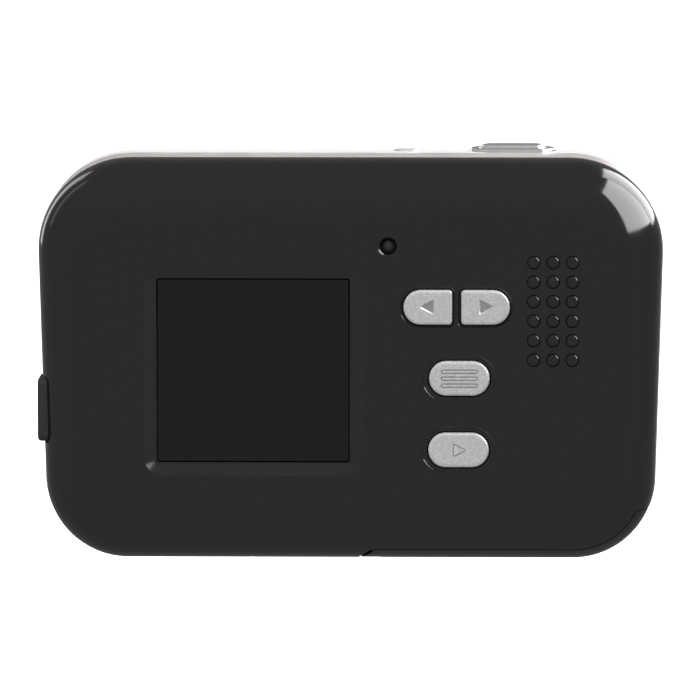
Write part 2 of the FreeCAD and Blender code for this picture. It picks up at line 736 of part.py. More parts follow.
def make_port_cover():
    """Rubber cover of the side port: an outer pad and a lip that reaches into the socket's mouth."""
    half = "(body_width / 2)"
    z = ("port_z - port_height / 2", "port_z + port_height / 2")
    y = (f"{Y_MID} - port_depth / 2", f"{Y_MID} + port_depth / 2")
    pad = block("port_pad", (f"0 - {half}", f"0 - {half} + port_thick"), y, z)
    lip = block("port_lip", (f"0 - {half} + port_thick - 0.1", f"0 - {half} + port_thick + 0.9"),
                (f"{Y_PORT} - 1.2", f"{Y_PORT} + 1.2"),
                ("port_z - 2.4", "port_z + 2.4"))
    node("port_cover", fuse("port_cover_form", pad, lip))


def make_case_screws():
    parts = []
    for word, side in SIDE_SCREWS.items():
        shank = side_screw_rod(f"screw_{word}_shank", side, "screw_radius - 0.02", "0.6",
                               "screw_length + 1.4")
        head = side_screw_rod(f"screw_{word}_head", side, "screw_head_radius", "0.3",
                              "screw_head_thick + 0.1")
        parts.append(fuse(f"screw_{word}", shank, head))
    for index, x in enumerate(X_BOTTOM_SCREWS):
        shank = rod(f"screw_low{index}_shank", "screw_radius - 0.02", "0.6", "screw_length + 0.9",
                    x=x, y=Y_CENTRE)
        head = rod(f"screw_low{index}_head", "screw_head_radius", "0.3", "screw_head_thick + 0.1",
                   x=x, y=Y_CENTRE)
        parts.append(fuse(f"screw_low{index}", shank, head))
    group = doc.addObject("Part::Compound", "case_screws_form")
    group.Links = parts
    node("case_screws", group)


def make_tripod_bush():
    barrel = rod("bush_barrel", "bush_radius - 0.02", "0.1", "bush_length", x="bush_x", y=Y_BUSH)
    bore = rod("bush_bore_cut", "bush_bore", "0 - 1", "bush_length - 0.6", x="bush_x", y=Y_BUSH)
    node("tripod_bush", cut("tripod_bush_form", barrel, bore))


# ---------------------------------------------------------------- display

def make_display():
    x = ("display_x - display_width / 2", "display_x + display_width / 2")
    z = ("display_z - display_height / 2", "display_z + display_height / 2")
    node("display_window", block("display_window_form", x, (Y_WINDOW, f"{Y_WINDOW} + window_thick"), z))
    depth = (f"{Y_INNER_REAR} + 0.05", f"{Y_INNER_REAR} + frame_depth")
    wide = (f"{x[0]} - frame_wall", f"{x[1]} + frame_wall")
    tall = (f"{z[0]} - frame_wall", f"{z[1]} + frame_wall")
    pocket = block("frame_pocket", (f"{x[0]} + 0.3", f"{x[1]} - 0.3"),
                   (f"{Y_INNER_REAR} - 1", f"{depth[1]} - 0.8"), (f"{z[0]} + 0.3", f"{z[1]} - 0.3"))
    node("display_frame", cut("display_frame_form", block("frame_block", wide, depth, tall), pocket))
    node("display_panel", block("display_panel_form", (f"{x[0]} + 0.4", f"{x[1]} - 0.4"),
                                (f"{depth[0]} + 0.1", f"{depth[0]} + 0.1 + panel_thick"),
                                (f"{z[0]} + 0.4", f"{z[1]} - 0.4")))
    node("display_ribbon", block("display_ribbon_form", ("display_x - 6", "display_x + 6"),
                                 (f"{Y_BOARD} - 0.2", Y_BOARD), (f"{tall[0]} - 4", f"{tall[0]} + 5")))


# ---------------------------------------------------------------- controls

def make_rear_buttons():
    """Each cap has a flange behind the cover and a stem that meets its switch."""
    for button, (_, x, z, _, _, _, flange) in REAR_BUTTONS.items():
        cap = button_prism(button + "_cap", button, (Y_BACK, f"{Y_LIP} + 0.1"), "0")
        lip = button_prism(button + "_lip", button, (Y_LIP, f"{Y_LIP} + lip_thick"), flange)
        stem = block(button + "_stem", (f"{x} - stem_size / 2", f"{x} + stem_size / 2"),
                     (f"{Y_LIP} + lip_thick - 0.1", Y_STEM),
                     (f"{z} - stem_size / 2", f"{z} + stem_size / 2"))
        node(button, fuse(button + "_form", cap, lip, stem))


def tact_switch(label, x, y, z, axis):
    """A square switch body with a round plunger, pressed along Y (from the rear) or along Z."""
    half = "switch_size / 2"
    if axis == "y":
        body = block(label + "_body", (f"{x} - {half}", f"{x} + {half}"), (f"{Y_SWITCH} + 0.6", y),
                     (f"{z} - {half}", f"{z} + {half}"))
        plunger = rod(label + "_plunger", "1.1", Y_SWITCH, f"{Y_SWITCH} + 0.7", x=x, z=z, axis="y")
    else:
        body = block(label + "_body", (f"{x} - {half}", f"{x} + {half}"), (f"{y} - {half}", f"{y} + {half}"),
                     (z, f"{z} + switch_height - 0.6"))
        plunger = rod(label + "_plunger", "1.1", f"{z} + switch_height - 0.7", f"{z} + switch_height",
                      x=x, y=y)
    node(label, fuse(label + "_form", body, plunger))


def make_switches():
    for button, (_, x, z, _, _, _, _) in REAR_BUTTONS.items():
        tact_switch(button.replace("button", "switch"), x, Y_BOARD, z, "y")
    tact_switch("shutter_switch", "shutter_x", Y_CONTROLS, Z_SWITCH_BASE, "z")
    tact_switch("power_switch", "power_x", Y_CONTROLS, Z_SWITCH_BASE, "z")


def make_top_controls():
    top_y = Y_CONTROLS
    ring = raised("bezel_ring", ("body_height - 0.55", "body_height + bezel_proud"), slot_outline,
                  "shutter_x", top_y, "bezel_width", "bezel_depth")
    sleeve = raised("bezel_sleeve", (Z_TOP_WALL, "body_height + 0.1"), slot_outline,
                    "shutter_x", top_y, "bezel_width - 2 * bezel_wall + 0.5",
                    "bezel_depth - 2 * bezel_wall + 0.5")
    bore = raised("bezel_bore", (f"{Z_TOP_WALL} - 1", "body_height + 2"), slot_outline, "shutter_x", top_y,
                  "bezel_width - 2 * bezel_wall - 0.6", "bezel_depth - 2 * bezel_wall - 0.6")
    node("shutter_bezel", cut("shutter_bezel_form", fuse("bezel_solid", ring, sleeve), bore))
    trim = "(2 * bezel_wall + 0.6 + 2 * top_fit)"
    cap = raised("shutter_cap", (f"{Z_SHUTTER_LIP} - 0.1", "body_height + shutter_proud"), slot_outline,
                 "shutter_x", top_y, f"bezel_width - {trim}", f"bezel_depth - {trim}")
    flange = raised("shutter_flange", (f"{Z_SHUTTER_LIP} - 0.8", Z_SHUTTER_LIP), slot_outline,
                    "shutter_x", top_y, "bezel_width - 2 * bezel_wall + 1.2",
                    "bezel_depth - 2 * bezel_wall + 0.2")
    stem = rod("shutter_stem", "1.2", f"{Z_SWITCH_BASE} + switch_height + shutter_travel + 0.1",
               f"{Z_SHUTTER_LIP} - 0.7", x="shutter_x", y=top_y)
    node("shutter_button", fuse("shutter_button_form", cap, flange, stem))
    power = raised("power_cap", (f"{Z_SHUTTER_LIP} - 0.1", "body_height + power_proud"), slot_outline,
                   "power_x", top_y, "power_width", "power_depth")
    power_lip = raised("power_lip", (f"{Z_SHUTTER_LIP} - 0.6", Z_SHUTTER_LIP), slot_outline,
                       "power_x", top_y, "power_width + 1", "power_depth + 1")
    power_stem = rod("power_stem", "1", f"{Z_SWITCH_BASE} + switch_height + power_travel + 0.1",
                     f"{Z_SHUTTER_LIP} - 0.5", x="power_x", y=top_y)
    node("power_button", fuse("power_button_form", power, power_lip, power_stem))


def make_status_lamp():
    """A clear-domed lamp that stands on the main board behind the cover's hole."""
    body = rod("lamp_body", "lamp_radius - 0.1", f"{Y_INNER_REAR} - 0.4", Y_BOARD,
               x="lamp_x", z="lamp_z", axis="y")
    foot = rod("lamp_foot", "lamp_radius + 0.4", f"{Y_INNER_REAR} + 0.3", Y_BOARD,
               x="lamp_x", z="lamp_z", axis="y")
    node("status_lamp", fuse("status_lamp_form", body, foot))


# ---------------------------------------------------------------- boards and components

def make_boards():
    board = padded("board_plate", (Y_BOARD, Y_BOARD_FRONT), case_outline, "board_inset")
    clear = block("board_clear", (f"{DOOR_END} - 2", "body_width"),
                  (f"{Y_BOARD} - 1", f"{Y_BOARD_FRONT} + 1"), ("0", "door_rise + 1"))
    bush = block("board_bush_clear", ("bush_x - bush_radius - 0.5", "bush_x + bush_radius + 0.5"),
                 (f"{Y_BOARD} - 1", f"{Y_BOARD_FRONT} + 1"), ("0", "bush_length + 0.5"))
    holes = board_screw_rods("board_hole", "board_screw_radius + 0.1", f"{Y_BOARD} - 1",
                             f"{Y_BOARD_FRONT} + 1")
    node("main_board", cut("main_board_form", board, clear, bush, *holes))
    node("top_board", block("top_board_form", ("power_x - 4.5", "shutter_x + 6"),
                            (f"{Y_CONTROLS} - 2.5", f"{Y_CONTROLS} + 2.5"),
                            ("top_board_z", Z_SWITCH_BASE)))
    chip_front = f"{Y_BOARD_FRONT} + chip_height"
    node("image_processor", block("image_processor_form", ("0 - 10.5", "0 - 0.5"),
                                  (Y_BOARD_FRONT, chip_front), ("13", "23")))
    node("memory_chip", block("memory_chip_form", ("0 - 9", "0 - 1"), (Y_BOARD_FRONT, chip_front),
                              ("42", "52")))
    node("buzzer", rod("buzzer_form", "4.5", Y_BOARD_FRONT, f"{Y_BOARD_FRONT} + 3",
                       x="0 - 20", z="46", axis="y"))
    node("microphone", rod("microphone_form", "2", f"{Y_INNER_FACE} - 1.6", f"{Y_INNER_FACE} - 0.05",
                           x="2", z="lens_z + 15", axis="y"))


def make_sockets():
    x_card = X_CELLS[0]
    card = block("card_block", (f"{x_card} - 6", f"{x_card} + 18"),
                 (Y_BOARD_FRONT, f"{Y_BOARD_FRONT} + card_height"), ("door_rise + 1.5", "door_rise + 28"))
    slot = block("card_slot", (f"{x_card} - 5", f"{x_card} + 17"),
                 (f"{Y_BOARD_FRONT} + 0.3", f"{Y_BOARD_FRONT} + card_height - 0.4"),
                 ("door_rise", "door_rise + 26"))
    node("card_socket", cut("card_socket_form", card, slot))
    x = ("0 - body_width / 2 + port_thick + 1.2", "0 - body_width / 2 + port_thick + 9.4")
    shell = block("usb_shell", x, (Y_BOARD_FRONT, f"{Y_BOARD_FRONT} + 4"),
                  ("port_z - 3.85", "port_z + 3.85"))
    mouth = block("usb_mouth", (f"{x[0]} - 1", f"{x[1]} - 2"),
                  (f"{Y_BOARD_FRONT} + 0.4", f"{Y_BOARD_FRONT} + 3.6"), ("port_z - 3.4", "port_z + 3.4"))
    tongue = block("usb_tongue", (f"{x[0]} + 1.5", f"{x[1]} - 1.5"),
                   (f"{Y_BOARD_FRONT} + 1.7", f"{Y_BOARD_FRONT} + 2.3"), ("port_z - 2.2", "port_z + 2.2"))
    node("usb_socket", fuse("usb_socket_form", cut("usb_can", shell, mouth), tongue))


def board_screw_rods(name, radius, low, high):
    """One rod along Y at each of the main board's fixing points."""
    rods = []
    for index, (x, z) in enumerate(BOARD_SCREWS):
        rods.append(rod(f"{name}{index}", radius, low, high, x=x, z=z, axis="y"))
    return rods


def make_board_screws():
    group = doc.addObject("Part::Compound", "board_screws_form")
    shanks = board_screw_rods("board_screw_shank", "board_screw_radius - 0.02", f"{Y_BOARD} - 2.6",
                              f"{Y_BOARD_FRONT} + 0.5")
    heads = board_screw_rods("board_screw_head", "board_screw_radius * 2", Y_BOARD_FRONT,
                             f"{Y_BOARD_FRONT} + 0.8")
    parts = []
    for index, (shank, head) in enumerate(zip(shanks, heads)):
        parts.append(fuse(f"board_screw{index}", shank, head))
    group.Links = parts
    node("board_screws", group)


# ---------------------------------------------------------------- power

def make_cells():
    """Two AAA cells, one each way up, so that the plates at the ends join them in series."""
    for index, x in enumerate(X_CELLS):
        nub_low = index == 1
        body_low = "cell_base + cell_nub" if nub_low else "cell_base"
        body_high = Z_CELL_TOP if nub_low else f"{Z_CELL_TOP} - cell_nub"
        nub = ("cell_base", "cell_base + cell_nub + 0.1") if nub_low else (
            f"{Z_CELL_TOP} - cell_nub - 0.1", Z_CELL_TOP)
        body = rod(f"cell{index}_body", "cell_radius", body_low, body_high, x=x, y=Y_CELL)
        tip = rod(f"cell{index}_nub", "1.9", nub[0], nub[1], x=x, y=Y_CELL)
        node(f"battery_cell_{index + 1}", fuse(f"cell{index}_form", body, tip))


def make_battery_box():
    depth = (f"{Y_CELL} - {HALF_BOX}", f"{Y_CELL} + {HALF_BOX}")
    shell = block("box_shell", (f"{X_CELLS[0]} - {HALF_BOX}", f"{X_CELLS[1]} + {HALF_BOX}"), depth,
                  ("cell_base - 0.2", f"{Z_CELL_TOP} + 2.6"))
    bores = []
    for index, x in enumerate(X_CELLS):
        bores.append(rod(f"box_bore{index}", "cell_radius + cell_fit", "0", f"{Z_CELL_TOP} + 1.6",
                         x=x, y=Y_CELL))
    node("battery_box", cut("battery_box_form", shell, *bores))


LEAF_ANGLE = 10


def make_contacts():
    """A dimpled positive plate and a sprung leaf at the top, one bridging plate on the door."""
    top = f"({Z_CELL_TOP} + 1.55)"
    disc = rod("contact_disc", "3.6", f"{top} - contact_thick", top, x=X_CELLS[0], y=Y_CELL)
    dimple = rod("contact_dimple", "1.6", f"{Z_CELL_TOP} + 0.05", top, x=X_CELLS[0], y=Y_CELL)
    node("battery_contact_plate", fuse("contact_plate_form", disc, dimple))
    leaf_x = f"({X_CELLS[1]} - 3.3)"
    leaf_base = block("leaf_base", (leaf_x, f"{leaf_x} + 6.6"), (f"{Y_CELL} - 2.4", f"{Y_CELL} + 2.4"),
                      (f"{top} - contact_thick", top))
    tongue = block("leaf_tongue", (leaf_x, f"{leaf_x} + 5.6"), (f"{Y_CELL} - 1.5", f"{Y_CELL} + 1.5"),
                   (f"{top} - contact_thick", top))
    tongue.Placement = FreeCAD.Placement(Vector(), FreeCAD.Rotation(Vector(0, 1, 0), LEAF_ANGLE))
    node("battery_contact_spring", fuse("contact_spring_form", leaf_base, tongue))
    thick = ("door_thick", "door_thick + contact_thick")
    plate = block("door_plate", (f"{X_CELLS[0]} - 3", f"{X_CELLS[1]} + 3"),
                  (f"{Y_CELL} - 2.4", f"{Y_CELL} + 2.4"), thick)
    bumps = []
    for index, x in enumerate(X_CELLS):
        bumps.append(rod(f"door_bump{index}", "1.5", "door_thick", "cell_base - 0.08", x=x, y=Y_CELL))
    node("door_contact", fuse("door_contact_form", plate, *bumps))


# ---------------------------------------------------------------- lens and flash

def lens_rod(name, radius, low, high):
    return rod(name, radius, low, high, x="lens_x", z="lens_z", axis="y")


def make_lens():
    ring = fuse(
        "lens_ring_solid",
        cone("lens_ring_body", "lens_ring_radius", "lens_ring_radius - 1.2", Y_FACE, Y_LENS,
             "lens_x", "lens_z"),
        lens_rod("lens_ring_spigot", "lens_hole_radius - 0.05", f"{Y_INNER_FACE} + 0.2", f"{Y_FACE} + 0.1"),
    )
    mouth = cone("lens_mouth", "lens_throat_radius", "lens_mouth_radius", f"{Y_FACE} + 0.4",
                 f"{Y_LENS} + 0.01", "lens_x", "lens_z")
    throat = lens_rod("lens_throat", "lens_throat_radius - 0.6", f"{Y_INNER_FACE} - 1", f"{Y_FACE} + 1")
    node("lens_bezel", cut("lens_bezel_form", ring, mouth, throat))
    node("lens_window", lens_rod("lens_window_form", "lens_throat_radius - 0.05", f"{Y_FACE} + 0.45",
                                 f"{Y_FACE} + 1.15"))
    board_front = "(sensor_y + 0.8)"
    node("sensor_board", block("sensor_board_form", ("lens_x - 8", "lens_x + 8"), ("sensor_y", board_front),
                               ("lens_z - 8", "lens_z + 8")))
    node("image_sensor", block("image_sensor_form", ("lens_x - 3.2", "lens_x + 3.2"),
                               (board_front, f"{board_front} + 0.9"), ("lens_z - 3.2", "lens_z + 3.2")))
    holder_foot = block("holder_foot", ("lens_x - 6", "lens_x + 6"), (board_front, f"{board_front} + 1.6"),
                        ("lens_z - 6", "lens_z + 6"))
    holder_tube = lens_rod("holder_tube", "holder_radius - 1", board_front, f"{board_front} + 6")
    holder = fuse("holder_solid", holder_tube, holder_foot)
    holder_bore = lens_rod("holder_bore", "barrel_radius + 0.03", f"{board_front} + 2.6",
                           f"{board_front} + 7")
    holder_room = block("holder_room", ("lens_x - 3.6", "lens_x + 3.6"),
                        (f"{board_front} - 1", f"{board_front} + 3"), ("lens_z - 3.6", "lens_z + 3.6"))
    node("lens_holder", cut("lens_holder_form", holder, holder_bore, holder_room))
    node("infrared_filter", block("infrared_filter_form", ("lens_x - 3.4", "lens_x + 3.4"),
                                  (f"{board_front} + 1.6", f"{board_front} + 1.9"),
                                  ("lens_z - 3.4", "lens_z + 3.4")))
    barrel = lens_rod("barrel_tube", "barrel_radius", f"{board_front} + 3.1", f"{Y_INNER_FACE} + 1")
    barrel_bore = lens_rod("barrel_bore", "barrel_radius - barrel_wall", f"{board_front} + 2",
                           f"{Y_FACE} + 1")
    node("lens_barrel", cut("lens_barrel_form", barrel, barrel_bore))
    element = "barrel_radius - barrel_wall - 0.02"
    node("front_lens",
         lens_rod("front_lens_form", element, f"{Y_INNER_FACE} - 1.4", f"{Y_INNER_FACE} + 0.4"))
    node("rear_lens", lens_rod("rear_lens_form", element, f"{board_front} + 3.6", f"{board_front} + 5"))


def make_flash():
    half = "flash_width / 2"
    tall = "flash_height / 2"
    x = (f"flash_x - {half}", f"flash_x + {half}")
    z = (f"flash_z - {tall}", f"flash_z + {tall}")
    node("flash_window", block("flash_window_form", x, (f"{Y_INNER_FACE} + 0.2", f"{Y_FACE} - 0.1"), z))
    trough = block("reflector_block", x, (f"{Y_INNER_FACE} - 4.6", f"{Y_INNER_FACE} + 0.1"), z)
    hollow = wedge(
        "reflector_hollow", (f"{Y_INNER_FACE} - 4.2", f"{Y_INNER_FACE} + 0.2"),
        (f"{x[0]} + 0.6", f"{x[0]} + 0.6"),
        (f"{x[1]} - 0.6", f"{x[1]} - 0.6"),
        ("flash_z - 1.4", f"{z[0]} + 0.4"),
        ("flash_z + 1.4", f"{z[1]} - 0.4"),
    )
    node("flash_reflector", cut("flash_reflector_form", trough, hollow))
    node("flash_tube", rod("flash_tube_form", "1", f"flash_x - {half} + 0.7", f"flash_x + {half} - 0.7",
                           y=f"{Y_INNER_FACE} - 2.9", z="flash_z", axis="x"))
    node("flash_capacitor", rod("flash_capacitor_form", "capacitor_radius",
                                "0 - 37.5", "0 - 37.5 + capacitor_length",
                                y=f"{Y_INNER_FACE} - capacitor_radius - 0.4", z="11.5", axis="x"))


# ---------------------------------------------------------------- build, check and write

def check_and_write():
    doc.recompute()
    for item in doc.Objects:
        if "Invalid" in item.State or "Error" in item.State:
            raise RuntimeError(f"{item.Name} failed: {item.State}")
    os.makedirs("parts", exist_ok=True)
    for item in nodes:
        if item.Shape.isNull() or not item.Shape.isValid():
            raise RuntimeError(f"{item.Label} has no valid shape")
        item.Shape.exportStep(os.path.join("parts", item.Label + ".step"))
        box = item.Shape.BoundBox
        print(f"{item.Label:24s} solids {len(item.Shape.Solids)} volume {item.Shape.Volume:9.2f} "
              f"x {box.XMin:7.2f} {box.XMax:7.2f} y {box.YMin:7.2f} {box.YMax:7.2f} "
              f"z {box.ZMin:7.2f} {box.ZMax:7.2f}")


fill_sheet()
make_rear_cover()
make_mid_frame()
make_front_cover()
make_battery_door()
make_hinge_pin()
make_port_cover()
make_case_screws()
make_tripod_bush()
make_display()
make_rear_buttons()
make_switches()
make_top_controls()
make_status_lamp()
make_boards()
make_sockets()
make_board_screws()
make_cells()
make_battery_box()
make_contacts()
make_lens()
make_flash()
check_and_write()
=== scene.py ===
import json
import math

import bmesh
import bpy
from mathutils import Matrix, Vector


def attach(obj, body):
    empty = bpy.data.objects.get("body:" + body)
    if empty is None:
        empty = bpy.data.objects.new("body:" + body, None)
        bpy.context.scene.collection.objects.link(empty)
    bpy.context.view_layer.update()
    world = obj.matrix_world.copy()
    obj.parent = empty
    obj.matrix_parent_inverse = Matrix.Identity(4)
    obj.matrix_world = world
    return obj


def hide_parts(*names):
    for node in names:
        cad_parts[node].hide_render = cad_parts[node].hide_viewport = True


# Looks of the compact digital camera. Lengths are in millimetres until a mesh is made, and in
# metres for the stage, the lights and the viewpoint.
# X runs left to right seen from behind, Y from the rear face to the lens, Z up.

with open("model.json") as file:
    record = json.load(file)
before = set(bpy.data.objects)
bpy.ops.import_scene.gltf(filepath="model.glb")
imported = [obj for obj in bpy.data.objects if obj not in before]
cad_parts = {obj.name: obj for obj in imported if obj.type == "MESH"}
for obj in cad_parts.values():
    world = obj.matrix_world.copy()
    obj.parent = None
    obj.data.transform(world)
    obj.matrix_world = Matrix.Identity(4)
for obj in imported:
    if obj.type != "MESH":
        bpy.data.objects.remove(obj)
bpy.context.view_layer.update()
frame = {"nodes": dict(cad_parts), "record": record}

MM = 0.001

# case
WIDTH = 90.0
HEIGHT = 58.2
TAPER = 0.95
TOP_CORNER = 13.5
LOW_CORNER = 12.0
WALL = 1.6
REAR_STEP = 0.15
REAR_ROUND = 8.4
FRONT_ROUND = 3.0
SEAM = 0.12
EDGE = 0.25

# depths of the case's faces and seams
Y_REAR = -12.8
Y_MID = -3.8
Y_FRONT = 2.2
Y_FACE = 10.2
Y_LENS = 13.2
Y_CENTRE = (Y_MID + Y_FRONT) / 2
REAR_PROFILE_STEPS = 26
FRONT_PROFILE_STEPS = 16

# how far a cutter reaches past the face that it opens
REACH = 3.0

# battery door
DOOR_THICK = 1.85
DOOR_RISE = 7.5
HINGE_X = 3.1
HINGE_Z = 1.5
KNUCKLE = 1.1
DOOR_END = HINGE_X - HINGE_Z
LUG_LENGTH = 2.5
LUG_GAP = 0.1
DOOR_SLOPE = 0.7
SWING = 1.41422  # corner of a square door end, over its half height
Y_DOOR_REAR = Y_MID - LUG_LENGTH - 0.3
Y_DOOR_FRONT = Y_FACE - 0.65 * FRONT_ROUND

# display
DISPLAY_X = -13.8
DISPLAY_Z = 28.05
DISPLAY_WIDTH = 27.5
DISPLAY_HEIGHT = 26.3
DISPLAY_CORNERS = (0.3,) * 4
RECESS_DEPTH = 0.9
WINDOW_THICK = 0.65

# controls
BUTTON_HEIGHT = 5.0
BUTTON_PROUD = 0.4
BUTTON_FIT = 0.15
Y_CAP = Y_REAR - BUTTON_PROUD
CAP_DEPTH = 3.0
CAP_EDGE = 0.38
CAP_DOME = 0.05
ARROW_WIDTH = 7.0
ARROW_CORNER = 0.55
ARROWS_Z = 37.25
LEFT_ARROW_X = 11.175
RIGHT_ARROW_X = 19.425
MENU = (15.7, 27.05, 8.7)
PLAY = (15.6, 16.75, 8.7)
LAMP = (5.5, 45.95, 1.2)
WELL_DEPTH = 0.17
ARROW_WELL = 0.58
LOW_WELL = 1.0
LAMP_WELL = 0.28
LAMP_WELL_DEPTH = 0.2

# symbols on the button caps
ARROW_SIZE = 1.8
ARROW_DEPTH = 0.2
TRIANGLE_SIZE = 1.6
BAR_LENGTH = 5.0
BAR_HEIGHT = 0.3
BAR_PITCH = 1.0
LINE_WIDTH = 0.17
LINE_DEPTH = 0.1

# raised dots of the thumb grip
GRIP_X = 26.3
GRIP_TOP = 43.7
GRIP_COLUMNS = 3
GRIP_ROWS = 6
COLUMN_PITCH = 2.76
ROW_PITCH = 2.8
DOT_RADIUS = 0.86

# controls on top, each with its length and width
TOP_Y = 5.5
SHUTTER_X = 23.4
BEZEL = (12.4, 6.4)
BEZEL_SEAT = (12.5, 6.5)
BEZEL_HOLE = (10.8, 4.8)
BEZEL_RISE = 0.55
SHUTTER = (9.36, 3.36)
SHUTTER_RISE = 1.1
POWER_X = 8.0
POWER = (3.8, 2.6)
POWER_HOLE = (4.04, 2.84)
POWER_RISE = 0.3

# side port
PORT_Z = 21.75
PORT_WIDTH = 7.4
PORT_HEIGHT = 9.2
PORT_GAP = 0.2
PORT_CORNERS = (1.1,) * 4

# lens, flash and microphone
LENS = (-13.8, 31.5)
LENS_HOLE = 7.6
LENS_RING = 12.5
CONE_MOUTH = 9.4
CONE_THROAT = 6.7
CONE_STEPS = 5
FLASH = (-32.2, 44.0, 11.0, 6.4)
FLASH_RIBS = 22
MICROPHONE = (2.0, LENS[1] + 15.0, 0.5)

# tripod bush and case screws
BUSH = (-13.8, 2.2)
BUSH_RADIUS = 4.38
BUSH_HOLE = 4.42
BUSH_TOP = 6.5
THREAD_PITCH = 1.27
THREAD_TURNS = 4
SCREW_SIDE = 44.9
SCREW_INSET = 3.0
SCREW_RADIUS = 1.6
SCREW_HOLE = 1.72

# height of the floor in metres: low enough for the battery door to hang open above it
FLOOR = -0.05

# viewpoint: degrees, millimetres on a 36 mm wide sensor, metres
AZIMUTH = 1.0
ELEVATION = 6.3
FOCAL_LENGTH = 355.4
TARGET = (-0.00015, 0, 0.0297)


# ---------------------------------------------------------------- outlines

def stations(arcs, steps=12, straight=1):
    """Points with outward normals along a closed outline of arcs (x, y, radius, from, to)."""
    found = []
    for index, (cx, cy, radius, start, end) in enumerate(arcs):
        for step in range(steps + 1):
            angle = math.radians(start + (end - start) * step / steps)
            normal = (math.cos(angle), math.sin(angle))
            found.append((cx + radius * normal[0], cy + radius * normal[1], *normal))
        if straight > 1:
            nx, ny, nr, after, _ = arcs[(index + 1) % len(arcs)]
            turn = math.radians(after)
            target = (nx + nr * math.cos(turn), ny + nr * math.sin(turn))
            x, y, *normal = found[-1]
            for step in range(1, straight):
                share = step / straight
                point = (x + (target[0] - x) * share, y + (target[1] - y) * share)
                found.append((*point, *normal))
    return found


def circle(x, y, radius, count=64):
    return stations([(x, y, radius, 0, 360 * (1 - 1 / count))], steps=count - 1)


def slot(x, y, width, height, steps=20):
    half = (width - height) / 2
    radius = height / 2
    ends = [(x + half, y, radius, -90, 90), (x - half, y, radius, 90, 270)]
    return stations(ends, steps=steps)


def rectangle(x, y, width, height, radii, steps=8):
    """A rounded rectangle; radii run from the lower right corner, anticlockwise."""
    corners = ((1, -1, -90), (1, 1, 0), (-1, 1, 90), (-1, -1, 180))
    arcs = []
    for radius, (sx, sy, start) in zip(radii, corners):
        centre = (x + sx * (width / 2 - radius), y + sy * (height / 2 - radius))
        arcs.append((*centre, radius, start, start + 90))
    return stations(arcs, steps=steps)


def arrow_button(x, side):
    """Half a stadium with small corners at its straight end, which faces the other button."""
    round_end = BUTTON_HEIGHT / 2
    right = round_end if side > 0 else ARROW_CORNER
    left = ARROW_CORNER if side > 0 else round_end
    radii = (right, right, left, left)
    return rectangle(x, ARROWS_Z, ARROW_WIDTH, BUTTON_HEIGHT, radii, steps=12)


def case_arcs():
    """Corners of the case, from the upper left one; its sides lean in towards the base."""
    xt = WIDTH / 2 - TOP_CORNER
    zt = HEIGHT - TOP_CORNER
    xb = WIDTH / 2 - TAPER - LOW_CORNER
    gap = math.hypot(xt - xb, zt - LOW_CORNER)
    slant = math.atan2(xt - xb, zt - LOW_CORNER)
    lean = math.degrees(slant + math.asin((TOP_CORNER - LOW_CORNER) / gap))
    return [
        (-xt, zt, TOP_CORNER, 90, 180 + lean),
        (-xb, LOW_CORNER, LOW_CORNER, 180 + lean, 270),
        (xb, LOW_CORNER, LOW_CORNER, 270, 360 - lean),
        (xt, zt, TOP_CORNER, -lean, 90),
    ]


CASE = stations(case_arcs(), steps=28, straight=10)


# ---------------------------------------------------------------- meshes

def spot(u, v, depth, plane):
    """A point from its place in an outline's plane and its depth along the plane's normal."""
    if plane == "XZ":
        return Vector((u, depth, v))
    if plane == "XY":
        return Vector((u, v, depth))
    return Vector((depth, u, v))


def finish_mesh(bm, name, material):
    bmesh.ops.recalc_face_normals(bm, faces=bm.faces)
    bmesh.ops.scale(bm, vec=(MM, MM, MM), verts=bm.verts)
    mesh = bpy.data.meshes.new(name)
    bm.to_mesh(mesh)
    bm.free()
    obj = bpy.data.objects.new(name, mesh)
    bpy.context.scene.collection.objects.link(obj)
    mesh.materials.append(material)
    return obj


def loft_into(bm, outline, profile, plane="XZ", closed=False):
    """Skin rings of an outline at each (inset, depth) of the profile, joined up or capped."""
    rings = []
    for inset, depth in profile:
        ring = []
        for u, v, nu, nv in outline:
            ring.append(bm.verts.new(spot(u - inset * nu, v - inset * nv, depth, plane)))
        rings.append(ring)
    pairs = list(zip(rings, rings[1:]))
    if closed:
        pairs.append((rings[-1], rings[0]))
    for first, second in pairs:
        for index in range(len(first)):
            after = (index + 1) % len(first)
            bm.faces.new((first[index], first[after], second[after], second[index]))
    if not closed:
        bm.faces.new(rings[0])
        bm.faces.new(rings[-1])


def loft(name, outline, profile, plane="XZ", closed=False, material=None):
    bm = bmesh.new()
    loft_into(bm, outline, profile, plane, closed)
    return finish_mesh(bm, name, material)


def prism(name, points, low, high, material, plane="XZ"):
    """A straight prism on a polygon, between two depths."""
    outline = [(u, v, 0, 0) for u, v in points]
    return loft(name, outline, [(0, low), (0, high)], plane, material=material)


def box(name, low, high, material):
    bm = bmesh.new()
    bmesh.ops.create_cube(bm, size=1)
    for vert in bm.verts:
        for axis in range(3):
            vert.co[axis] = high[axis] if vert.co[axis] > 0 else low[axis]
    return finish_mesh(bm, name, material)


def quarter(inset, depth, radius, towards, steps):
    """Profile points of a rounded outer edge: from the wall at inset round to the face at depth."""
    points = []
    for step in range(steps + 1):
        angle = math.radians(90 * step / steps)
        across = radius * (1 - math.cos(angle))
        points.append((inset + across, depth - towards * radius * (1 - math.sin(angle))))
    return points


def evaluated(obj):
    """Replace an object's mesh by what its modifiers make of it."""
    graph = bpy.context.evaluated_depsgraph_get()
    graph.update()
    mesh = bpy.data.meshes.new_from_object(obj.evaluated_get(graph), depsgraph=graph)
    obj.modifiers.clear()
    obj.data = mesh
    return obj


